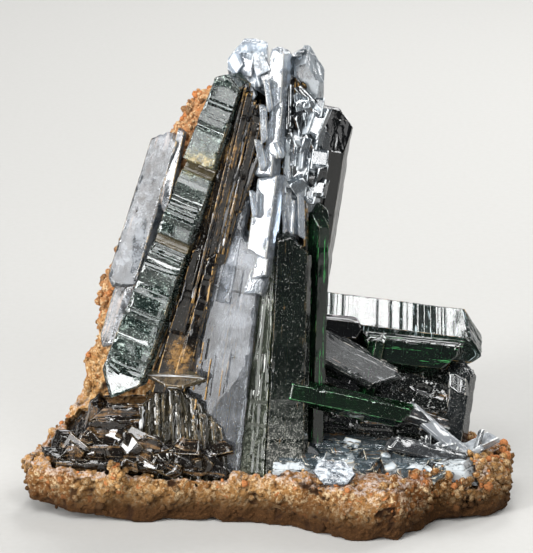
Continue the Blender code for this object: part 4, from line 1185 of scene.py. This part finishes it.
def vivianite(
    name, body, absorbs, density, clarity=0.95, roughness=0.03, haze=0.1, specks=0.1, frost=0.0, streaks=0.0,
    # dust also colours painted glints on some looks, and rim sets an edge tint that is in part a painted
    # highlight.
    varied=0.0, dust="C9C6BC", stain=0.0, stain_colour="8A6230", rim=0.5, edge_film_and_highlight_colour="9C8358", lines=0.07,
    across=0.0, footing=0.0, swell=0.0, ochre=None, gloss=0.5,
):
    """Vivianite, a soft hydrous iron phosphate that cleaves like mica: glassy, pearly on its cleavage, with
    growth striations along it, pale frost, streaks, dust and specks on its faces, and films of iron oxide in
    its grooves and along its edges. Some marks are painted light: white, pale grey and green edge tints are
    painted highlights, the bright green streaks and specks of the dark green look and the pale streaks of the
    fan's look are painted glints and highlights, and the floor of a recess is painted shade."""
    material, node = begun(name)
    grain = node("Attribute", output="Vector", attribute_name="grain")
    hollow, edge = (node("Attribute", output="Fac", attribute_name=kept) for kept in ("hollow", "edge"))
    place = node("TexCoord", output="Object")
    height_up = node("SeparateXYZ", [place], 2)

    # Striations are 0.3 to 0.5 mm apart and run for some 8 mm. Those across it run for 5 mm.
    blotched = (1.2 - 0.5 * across, 0.7 + 1.3 * across, 5.3)
    long_lines, cross_lines, blotch = (
        node("TexNoise", {
            "Vector": node("Mapping", {"Vector": grain, "Scale": scale}), "Scale": 1.0, "Detail": detail,
            "Roughness": 0.7,
        })
        for scale, detail in (((2.6, 0.13, 3.1), 5.0), ((0.2, 3.2, 3.1), 5.0), (blotched, 8.0))
    )
    lined = node("Mix", {0: across, 2: long_lines, 3: cross_lines})
    # Patches of 4 mm, mottling of 0.7 mm, grit of 0.15 mm and undulations of 7 mm.
    patch, mottle, grit, waves = (
        node("TexNoise", {"Vector": place, "Scale": scale, "Detail": detail, "Roughness": rough})
        for scale, detail, rough in (
            (260.0, 5.0, 0.6), (1500.0, 5.0, 0.75), (6500.0, 2.0, 0.5), (140.0, 2.0, 0.4),
        )
    )

    # Each crystal of a group has its own share of frost.
    own = node("Math FRACT", [node("Math MULTIPLY", [node("SeparateXYZ", [grain], 2), 0.618])])
    share = node("Math MULTIPLY", [node("Math SUBTRACT", [own, 0.5]), 0.5 * varied])
    low = node("Math SUBTRACT", [0.66 - 0.3 * frost, share])
    frosted = node("Math MULTIPLY_ADD", [node("Math SUBTRACT", [patch, 0.5]), 0.4, blotch])
    frosted = node("Math MULTIPLY_ADD", [node("Math SUBTRACT", [mottle, 0.5]), 0.5, frosted])
    frosted = node("MapRange", {0: frosted, 1: low, 2: node("Math ADD", [low, 0.16]), 4: min(1.0, 2 * frost)})
    spot = node("MapRange SMOOTHSTEP", [grit, 0.72 - 0.12 * specks, 0.77 - 0.12 * specks])
    streak_and_glint_mask = node("MapRange SMOOTHSTEP", [lined, 0.66 - 0.2 * streaks, 0.72 - 0.2 * streaks])
    streak_and_glint_mask = node("Math MULTIPLY", [streak_and_glint_mask, min(1.0, 3 * streaks)])
    film = node("MapRange SMOOTHSTEP", [node("Math MULTIPLY_ADD", [mottle, 0.5, patch]), 0.62, 0.95])
    film = node("Math MULTIPLY", [film, haze])
    # Dust lies thicker towards the foot, 8 to 24 mm up, and the film thinner, 12 to 32 mm up.
    clearer = node("MapRange SMOOTHSTEP", [height_up, 0.012, 0.032])
    film = node("Math MULTIPLY", [film, node("Math MULTIPLY_ADD", [clearer, 0.8, 0.2])])
    sifted = node("MapRange SMOOTHSTEP", [node("Math ADD", [grit, mottle]), 0.95, 1.15])
    settled = node("Math MULTIPLY", [node("MapRange SMOOTHSTEP", [height_up, 0.024, 0.008]), sifted])
    settled = node("Math MULTIPLY", [settled, footing])
    # Specks, frost, film, settled dust and streaks share the dust colour. On the dark green look that colour is
    # a bright green painted glint, and on the fan the pale streaks are painted highlights.
    dust_and_glint_mask = spot
    for layer in (frosted, film, settled, streak_and_glint_mask):
        dust_and_glint_mask = node("Math MAXIMUM", [dust_and_glint_mask, layer])

    # Iron oxide creeps along the grooves.
    groove = node("Math MULTIPLY_ADD", [hollow, 0.3, lined])
    groove = node("Math ADD", [groove, node("Math MULTIPLY", [patch, 0.6])])
    stain_mask = node("MapRange SMOOTHSTEP", [groove, 1.3 - 0.45 * stain, 1.42 - 0.45 * stain])
    if ochre is not None:
        # A patch of ochre round one place, which is (x, z, half its width, half its height) in mm.
        across_it, up_it, half_wide, half_tall = (MM * value for value in ochre)
        shifted = node("VectorMath SUBTRACT", [place, (across_it, 0.0, up_it)])
        scaled = node("VectorMath MULTIPLY", [shifted, (1 / half_wide, 0.0, 1 / half_tall)])
        off = node("VectorMath LENGTH", [scaled], "Value")
        washed = node("Math SUBTRACT", [node("Math MULTIPLY_ADD", [mottle, -1.2, off]), lined])
        washed = node("MapRange SMOOTHSTEP", [washed, 0.0, -0.8])
        stain_mask = node("Math MAXIMUM", [stain_mask, washed])
    # The floor of a recess, where hollow is over 2, has no dust and its iron-oxide stain at its darkest:
    # painted shade.
    open_outside_recess_shade = node("MapRange SMOOTHSTEP", [hollow, 2.2, 1.4])
    dust_and_glint_mask = node("Math MULTIPLY", [dust_and_glint_mask, node("Math MAXIMUM", [open_outside_recess_shade, 0.15])])
    stain_light = node("Math MULTIPLY", [node("MapRange SMOOTHSTEP", [mottle, 0.35, 0.65]), open_outside_recess_shade])
    stains = {0: stain_light, 6: darkened(stain_colour, 0.14), 7: linear(stain_colour)}
    # Along the edges lies a tint: a film of iron oxide where its colour is ochre, a painted highlight where it
    # is white, pale grey or green.
    edge_film_and_highlight_mask = node("Math ADD", [node("Math MULTIPLY_ADD", [mottle, 1.2, edge]), patch])
    edge_film_and_highlight_mask = node("Math MULTIPLY", [node("MapRange SMOOTHSTEP", [edge_film_and_highlight_mask, 1.95, 2.15]), rim])

    # Some crystals of a group are darker than the rest.
    dim = node("Math FRACT", [node("Math MULTIPLY", [own, 5.7])])
    dim = node("Math MULTIPLY", [node("MapRange SMOOTHSTEP", [dim, 0.4, 0.7]), min(1.0, varied)])
    colour = linear(body)
    for mask, tone in (
        (dim, darkened(body, 0.12)), (stain_mask, node("Mix RGBA", stains, 2)), (dust_and_glint_mask, linear(dust)),
        (edge_film_and_highlight_mask, linear(edge_film_and_highlight_colour)),
    ):
        colour = node("Mix RGBA", {0: mask, 6: colour, 7: tone}, 2)
    cover = node("Math MAXIMUM", [dust_and_glint_mask, edge_film_and_highlight_mask])
    cover = node("Math MAXIMUM", [cover, node("Math MULTIPLY", [stain_mask, 0.85])])
    through = node("Math MULTIPLY", [node("Math SUBTRACT", [1.0, cover]), clarity])
    rough = node("MapRange", {0: cover, 3: roughness, 4: 0.3})
    # The undulations, then the striations and the thickness of the specks.
    normal = {}
    for strength, distance, height in ((swell, 0.0006, waves), (lines, 0.00008, lined), (0.3, 0.00003, spot)):
        relief = {"Strength": strength, "Distance": distance, "Height": height, **normal}
        normal = {"Normal": node("Bump", relief)}
    surface = node("BsdfPrincipled", {
        "Base Color": colour, "Roughness": rough, "IOR": VIVIANITE_IOR, "Specular IOR Level": gloss,
        "Transmission Weight": through, **normal,
    })
    inside = node("VolumeAbsorption", {"Color": linear(absorbs), "Density": density})
    node("OutputMaterial", {"Surface": surface, "Volume": inside})
    return material


def earthy_limonite(settings):
    """Limonite, an earthy mix of iron hydroxides: dull and sandy, golden brown, with orange grains, dark
    hollows and a greyish dust where it faces up, and darker towards its foot, which is painted shade and in
    part a darker brown earth."""
    material, node = begun("earthy_limonite")
    hollow, tint, dusted = (
        node("Attribute", output="Fac", attribute_name=kept) for kept in ("hollow", "tint", "dusted")
    )
    place = node("TexCoord", output="Object")
    height_up = node("SeparateXYZ", [place], 2)
    # Broad patches of 8 mm, rusty ones of 14 mm, grit of 0.7 mm and sand of 0.25 mm.
    broad, rusty, grit, sand = (
        node("TexNoise", {"Vector": place, "Scale": scale, "Detail": detail, "Roughness": 0.7})
        for scale, detail in ((130.0, 5.0), (70.0, 6.0), (1500.0, 5.0), (4000.0, 3.0))
    )
    ridge = node("MapRange", {0: height_up, 1: 0.014, 2: 0.034, 4: 0.45})
    lilac = node("Math MULTIPLY", [dusted, node("MapRange SMOOTHSTEP", [height_up, 0.022, 0.012])])
    lilac = node("Math MULTIPLY", [lilac, node("MapRange SMOOTHSTEP", [grit, 0.42, 0.62])])
    tone = tuple(settings.limonite_light) + (1.0,)
    for mask, over in (
        (node("MapRange SMOOTHSTEP", [broad, 0.38, 0.62]), tuple(settings.limonite_deep) + (1.0,)),
        (node("MapRange SMOOTHSTEP", [rusty, 0.52, 0.66]), linear("74461F")),
        (ridge, linear("C88E66")),
        (node("MapRange SMOOTHSTEP", [grit, 0.47, 0.64]), linear("D9BF96")),
        (node("MapRange SMOOTHSTEP", [tint, 0.8, 0.86]), linear("BC7A4A")),
        # Painted shade: darker towards the foot, below 7 mm, in part also a darker brown earth there.
        (node("MapRange SMOOTHSTEP", [height_up, 0.0072, 0.0014]), linear("3C2611")),
        (lilac, linear("B9AAA2")),
        (node("MapRange SMOOTHSTEP", [sand, 0.5, 0.32]), linear("54381E")),
        (node("MapRange SMOOTHSTEP", [hollow, 0.3, 0.9]), linear("2E1C0E")),
    ):
        tone = node("Mix RGBA", {0: mask, 6: tone, 7: over}, 2)
    coarse = node("Bump", {"Strength": 0.8, "Distance": 0.0003, "Height": grit})
    sandy = node("Bump", {"Strength": 0.6, "Distance": 0.00012, "Height": sand, "Normal": coarse})
    surface = node("BsdfPrincipled", {
        "Base Color": tone, "Roughness": 0.88, "Specular IOR Level": 0.15, "Normal": sandy,
    })
    node("OutputMaterial", {"Surface": surface})
    return material


def pale_card():
    """Card, pressed from pale fibres and uncoated, which leaves it matt."""
    material, node = begun("pale_matt_card")
    place = node("TexCoord", output="Object")
    fibre = node("TexNoise", {"Vector": place, "Scale": 900.0, "Detail": 3.0})
    tone = node("Mix RGBA", {0: fibre, 6: linear("BBBAB6"), 7: linear("C1C0BD")}, 2)
    surface = node("BsdfPrincipled", {"Base Color": tone, "Roughness": 0.85, "Specular IOR Level": 0.2})
    node("OutputMaterial", {"Surface": surface})
    return material


# What each look gives the vivianite. Ochre edge tints are films of iron oxide; white, pale grey and green ones
# are painted highlights.
LOOKS = dict(
    # Its bright green dust colour paints glints on its streaks and specks.
    dark_green=dict(
        body="34503F", absorbs="5F9675", density=1300.0, stain=0.25, streaks=0.34, dust="3FA052",
        stain_colour="A0A050", gloss=0.4,
    ),
    lying_green=dict(
        body="2F5A40", absorbs="5F9675", density=1300.0, roughness=0.15, stain=0.2, across=1.0, streaks=0.38,
        frost=0.3, lines=0.25, dust="B9CCD0", rim=0.9, edge_film_and_highlight_colour="C29A58",
    ),
    stepped_green=dict(
        body="43625A", absorbs="5F857A", density=1100.0, haze=0.12, frost=0.36, specks=0.7, stain=0.3,
        across=0.8, lines=0.05, dust="B8C8BE", rim=0.9, swell=0.3, stain_colour="A08A48",
        ochre=(-9.2, 49.8, 3.2, 2.6),
    ),
    # Its green edge tint is a painted highlight.
    rod_green=dict(
        body="579364", absorbs="3FA455", density=1100.0, clarity=0.98, haze=0.03, specks=0.1, stain=0.1,
        rim=0.9, edge_film_and_highlight_colour="5DB26E",
    ),
    rear_green=dict(
        body="141A17", absorbs="4A6E5A", density=1500.0, stain=0.2, streaks=0.1, dust="5E6462", gloss=0.25,
    ),
    dusty_green=dict(
        body="2A3F33", absorbs="5A7C68", density=1400.0, haze=0.08, specks=0.5, dust="96948E", stain=0.35,
        footing=0.9, gloss=0.4,
    ),
    clear_grey=dict(
        body="D4DAE2", absorbs="A8B0B8", density=420.0, clarity=0.95, haze=0.3, frost=0.14, streaks=0.22,
        specks=0.5, dust="A6ACB6", stain=0.4, edge_film_and_highlight_colour="D8DCE0", swell=0.35, lines=0.03,
        ochre=(-10.8, 22.6, 2.0, 4.2), stain_colour="B08A4E",
    ),
    wedge_grey=dict(
        body="7C8870", absorbs="8C9A6C", density=1000.0, haze=0.2, specks=0.15, stain=0.3, rim=1.0,
        edge_film_and_highlight_colour="A8AE5A", footing=0.35, lines=0.03,
    ),
    smoky_grey=dict(
        body="8C9292", absorbs="8C948E", density=1000.0, haze=0.35, frost=0.12, streaks=0.3, specks=0.45,
        dust="A4A6A8", stain=0.4, rim=1.0, edge_film_and_highlight_colour="C4C2B8", swell=0.3, lines=0.08, roughness=0.1,
    ),
    splinter_clear=dict(
        body="C6CCD2", absorbs="98A0A8", density=800.0, clarity=0.6, haze=0.1, frost=0.16, varied=1.0,
        dust="DDE4E8", stain=0.3, lines=0.0, rim=1.0, edge_film_and_highlight_colour="E4E6E4",
    ),
    corner_grey=dict(
        body="3C4244", absorbs="6E7672", density=1500.0, clarity=0.8, haze=0.15, specks=0.7, dust="8E8E8A",
        stain=0.4, rim=0.8, edge_film_and_highlight_colour="B8B6AC", lines=0.05,
    ),
    flank_grey=dict(
        body="9AA0A6", absorbs="8E959C", density=1000.0, clarity=0.96, roughness=0.05, haze=0.5, specks=0.4,
        frost=0.28, dust="C2C6CC", stain=0.45, rim=1.0, swell=1.0, lines=0.03,
    ),
    brown_core=dict(
        body="40382E", absorbs="9A8258", density=1100.0, haze=0.05, frost=0.14, varied=0.7, dust="908C86",
        specks=0.35, stain=0.55, stain_colour="9A7440", rim=0.9, edge_film_and_highlight_colour="B08A4C",
        ochre=(-12.0, 23.0, 2.2, 3.6),
    ),
    brown_foot=dict(
        body="5A4B3A", absorbs="8A6F4A", density=1200.0, haze=0.08, specks=0.3, stain=0.65,
        stain_colour="7A5A34",
    ),
    # Its pale streaks along the flutes are painted highlights.
    fan_olive=dict(
        body="6A6450", absorbs="8F9070", density=900.0, clarity=0.85, haze=0.06, streaks=0.42, dust="C9CCCE",
        stain=0.55, stain_colour="5C4A2C", ochre=(-12.7, 20.3, 5.0, 2.4),
    ),
    pearly_white=dict(
        body="DCE4EC", absorbs="C2CDD8", density=400.0, clarity=0.8, roughness=0.06, frost=0.3, dust="E6EBF0",
        stain=0.25, edge_film_and_highlight_colour="B9A682", lines=0.03,
    ),
    cap_white=dict(
        body="C2CEDA", absorbs="A9BECF", density=600.0, clarity=0.6, roughness=0.08, frost=0.36, varied=0.7,
        dust="E6EEF4", stain=0.35, lines=0.04, rim=1.0, edge_film_and_highlight_colour="F0F4F8",
    ),
    shard_blue=dict(
        body="7C868E", absorbs="8A98A4", density=1000.0, clarity=0.75, haze=0.04, frost=0.24, varied=1.3,
        dust="DDE6EC", stain=0.4, lines=0.0, rim=1.0, edge_film_and_highlight_colour="DCE2E6",
    ),
    shelf_grey=dict(
        body="8FA0A8", absorbs="6E98AC", density=1000.0, clarity=0.85, haze=0.14, frost=0.4, varied=1.4,
        dust="DCE3E6", stain=0.5, rim=0.9, edge_film_and_highlight_colour="C9BFA8", roughness=0.05, lines=0.03,
    ),
    bed_dark=dict(
        body="39423C", absorbs="4A6E5A", density=1500.0, haze=0.12, specks=0.7, frost=0.1, dust="80807A",
        stain=0.4,
    ),
)

# The crystals of each group: the CAD node, the function that makes it, its look and its slot.
PIECES = dict(
    stepped=(("stepped_blade", stepped_blade, "stepped_green", "vivianite_green"),),
    blades=(
        ("clear_blade", clear_blade, "clear_grey", "vivianite_clear"),
        ("wedge_blade", wedge_blade, "wedge_grey", "vivianite_clear"),
        ("outer_blades", outer_blades, "flank_grey", "vivianite_clear"),
        ("bright_blade", bright_blade, "pearly_white", "vivianite_pale"),
    ),
    prisms=(
        ("dusty_prism", dusty_prism, "dusty_green", "vivianite_dusty"),
        ("edge_prism", edge_prism, "dark_green", "vivianite_green"),
        ("rear_prism", rear_prism, "rear_green", "vivianite_green"),
    ),
    core=(
        ("ribbed_core", ribbed_core, "brown_core", "vivianite_brown"),
        ("fan_stump", fan_stump, "fan_olive", "vivianite_brown"),
    ),
    crown=(
        ("crown_cap", crown_cap, "cap_white", "vivianite_pale"),
        ("crown_shards", crown_shards, "shard_blue", "vivianite_clear"),
        ("needle_columns", needle_columns, "pearly_white", "vivianite_pale"),
    ),
    pile=(
        ("lying_prism", lying_prism, "lying_green", "vivianite_green"),
        ("under_prism", under_prism, "dark_green", "vivianite_green"),
        ("stub_prism", stub_prism, "rear_green", "vivianite_green"),
        ("cross_prism", cross_prism, "dark_green", "vivianite_green"),
        ("slanting_blades", slanting_blades, "smoky_grey", "vivianite_clear"),
        ("green_rod", green_rod, "rod_green", "vivianite_green"),
        ("bed_blades", bed_blades, "bed_dark", "vivianite_green"),
        ("corner_crystal", corner_crystal, "corner_grey", "vivianite_clear"),
        ("splinters", splinters, "splinter_clear", "vivianite_clear"),
    ),
    plates=(
        ("foot_block", foot_block, "brown_foot", "vivianite_brown"),
        ("foot_ledges", foot_ledges, "brown_foot", "vivianite_brown"),
        ("shelf_plates", shelf_plates, "shelf_grey", "vivianite_pale"),
        ("loose_plate", loose_plate, "cap_white", "vivianite_pale"),
    ),
)


def look_of(name):
    """The vivianite of that look, made when a piece first asks for it."""
    full = "vivianite_" + name
    return bpy.data.materials.get(full) or vivianite(full, **LOOKS[name])


def make_group(group):
    """Makes the crystals of one group. Each stands for the CAD node that it is named for."""
    for node, maker, look, slot in PIECES[group]:
        made = gathered(maker())
        if not np.isfinite(made["co"]).all():
            raise RuntimeError(f"{node} has points that aren't numbers")
        name = node + "_crystal"
        placed(name, mesh_of(name, made), look_of(look), slot, node)


# ---------------------------------------------------------------- the add-on


class SpecimenSettings(bpy.types.PropertyGroup):
    grain_size: FloatProperty(
        name="Grain size", description="Size of the limonite's grains", default=0.0009, subtype="DISTANCE",
        unit="LENGTH",
    )
    matrix_detail: FloatProperty(
        name="Matrix detail", description="Size of the faces that the matrix is laid out in", default=0.00036,
        subtype="DISTANCE", unit="LENGTH",
    )
    crumb_count: IntProperty(
        name="Crumbs", description="How many loose grains lie on the matrix", default=3000,
    )
    limonite_light: FloatVectorProperty(
        name="Light limonite", description="Colour of the fresh ochre", default=linear("B58A56")[:3],
        subtype="COLOR", size=3,
    )
    limonite_deep: FloatVectorProperty(
        name="Deep limonite", description="Colour of the rusty patches", default=linear("93683A")[:3],
        subtype="COLOR", size=3,
    )


class SPECIMEN_OT_matrix(bpy.types.Operator):
    """Makes the limonite matrix and its loose grains."""

    bl_idname = "specimen.matrix"
    bl_label = "Matrix"

    def execute(self, context):
        settings = context.scene.specimen
        material = earthy_limonite(settings)
        placed("limonite_matrix", rock(settings), material, "limonite", "matrix")
        placed("limonite_crumbs", mesh_of("limonite_crumbs", crumbs(settings)), material, "limonite")
        return {"FINISHED"}


class SPECIMEN_OT_stepped(bpy.types.Operator):
    """Makes the long leaning blade whose face climbs in growth steps."""

    bl_idname = "specimen.stepped"
    bl_label = "Stepped Blade"

    def execute(self, context):
        make_group("stepped")
        return {"FINISHED"}


class SPECIMEN_OT_blades(bpy.types.Operator):
    """Makes the tower's clear and bright blades."""

    bl_idname = "specimen.blades"
    bl_label = "Tower Blades"

    def execute(self, context):
        make_group("blades")
        return {"FINISHED"}


class SPECIMEN_OT_prisms(bpy.types.Operator):
    """Makes the tower's dark prisms."""

    bl_idname = "specimen.prisms"
    bl_label = "Tower Prisms"

    def execute(self, context):
        make_group("prisms")
        return {"FINISHED"}


class SPECIMEN_OT_core(bpy.types.Operator):
    """Makes the ribbed core and the fluted stump."""

    bl_idname = "specimen.core"
    bl_label = "Ribbed Core"

    def execute(self, context):
        make_group("core")
        return {"FINISHED"}


class SPECIMEN_OT_crown(bpy.types.Operator):
    """Makes the broken crown of the tower."""

    bl_idname = "specimen.crown"
    bl_label = "Crown"

    def execute(self, context):
        make_group("crown")
        return {"FINISHED"}


class SPECIMEN_OT_pile(bpy.types.Operator):
    """Makes the pile of prisms on the right."""

    bl_idname = "specimen.pile"
    bl_label = "Pile"

    def execute(self, context):
        make_group("pile")
        return {"FINISHED"}


class SPECIMEN_OT_plates(bpy.types.Operator):
    """Makes the plates and ledges that lie on the matrix."""

    bl_idname = "specimen.plates"
    bl_label = "Plates"

    def execute(self, context):
        make_group("plates")
        return {"FINISHED"}


FLOOR_HALF = 3.0  # m
FLOOR_DROP = 0.0001  # m, below the specimen's underside
AIM = Vector((0, 0, 0.0325))  # m, half-way up the specimen
CAMERA_AWAY = 0.4  # m
SENSOR_WIDTH = 36.0  # mm
FOCAL_LENGTH = 187.5  # mm
STUDIO_GREY = (0.13, 0.135, 0.145, 1.0)

# Each softbox is its name, azimuth, elevation, distance in m, width and height in degrees and radiance.
SOFTBOXES = (
    ("key_strip", KEY_SIDE, 20, 0.55, 10, 44, 20.0),
    ("left_panel", *LEFT, 0.6, 16, 32, 6.0),
    ("front_left_upper_panel", -28, 17, 0.6, 15, 13, 6.2),
    ("front_left_lower_panel", -28, 3, 0.6, 15, 15, 4.4),
    ("high_left_panel", *HIGH_LEFT, 0.55, 20, 24, 9.0),
    ("high_back_panel", 171, 44, 0.55, 16, 20, 11.0),
    ("low_back_panel", 180, 17, 0.6, 56, 14, 2.8),
    ("back_right_panel", 128, 34, 0.5, 16, 26, 12.0),
    ("top_front_panel", 18, 62, 0.6, 26, 28, 1.8),
    ("front_right_panel", *FRONT_RIGHT, 0.6, 14, 16, 14.0),
)


def aimed(obj, away):
    """Puts a lamp or the camera that far from the middle of the specimen, turned towards it."""
    obj.location = AIM + away
    obj.rotation_euler = (AIM - obj.location).to_track_quat("-Z", "Y").to_euler()
    bpy.context.scene.collection.objects.link(obj)


class SPECIMEN_OT_stage(bpy.types.Operator):
    """Makes the pale floor, the soft lights and the camera."""

    bl_idname = "specimen.stage"
    bl_label = "Stage"

    def execute(self, context):
        scene = context.scene
        mesh = bpy.data.meshes.new("floor")
        square = ((-1, -1), (1, -1), (1, 1), (-1, 1))
        mesh.from_pydata(
            [(FLOOR_HALF * x, FLOOR_HALF * y, -FLOOR_DROP) for x, y in square], [], [(0, 1, 2, 3)]
        )
        mesh.materials.append(pale_card())
        floor = bpy.data.objects.new("floor", mesh)
        scene.collection.objects.link(floor)

        for name, azimuth, elevation, distance, wide, tall, radiance in SOFTBOXES:
            light = bpy.data.lights.new(name, "AREA")
            light.shape = "RECTANGLE"
            light.size = 2 * distance * math.tan(math.radians(wide / 2))
            light.size_y = 2 * distance * math.tan(math.radians(tall / 2))
            light.energy = radiance * math.pi * light.size * light.size_y
            lamp = bpy.data.objects.new(name, light)
            lamp.visible_camera = False
            aimed(lamp, distance * Vector(facing(azimuth, elevation)))

        world = bpy.data.worlds.new("studio")
        world.use_nodes = True
        world.node_tree.nodes["Background"].inputs[0].default_value = STUDIO_GREY
        scene.world = world

        camera = bpy.data.cameras.new("camera")
        camera.sensor_width = SENSOR_WIDTH
        camera.lens = FOCAL_LENGTH
        camera.clip_start = 0.01
        eye = bpy.data.objects.new("camera", camera)
        aimed(eye, CAMERA_AWAY * Vector(VIEW))
        scene.camera = eye
        scene.view_settings.view_transform = "Standard"
        return {"FINISHED"}


class SPECIMEN_PT_panel(bpy.types.Panel):
    """Lists the pieces of the specimen."""

    bl_idname = "SPECIMEN_PT_panel"
    bl_label = "Vivianite Specimen"
    bl_space_type = "VIEW_3D"
    bl_region_type = "UI"
    bl_category = "Specimen"

    def draw(self, context):
        for name in ("grain_size", "matrix_detail", "crumb_count", "limonite_light", "limonite_deep"):
            self.layout.prop(context.scene.specimen, name)
        for operator in OPERATORS:
            self.layout.operator(operator.bl_idname)


OPERATORS = (
    SPECIMEN_OT_matrix, SPECIMEN_OT_core, SPECIMEN_OT_stepped, SPECIMEN_OT_blades, SPECIMEN_OT_prisms,
    SPECIMEN_OT_crown, SPECIMEN_OT_pile, SPECIMEN_OT_plates, SPECIMEN_OT_stage,
)


def register():
    for made in (SpecimenSettings, *OPERATORS, SPECIMEN_PT_panel):
        bpy.utils.register_class(made)
    bpy.types.Scene.specimen = PointerProperty(type=SpecimenSettings)


def unregister():
    del bpy.types.Scene.specimen
    for made in reversed((SpecimenSettings, *OPERATORS, SPECIMEN_PT_panel)):
        bpy.utils.unregister_class(made)


def main():
    register()
    for operator in OPERATORS:
        group, name = operator.bl_idname.split(".")
        getattr(getattr(bpy.ops, group), name)()
    bpy.context.view_layer.update()


if __name__ == "__main__":
    main()
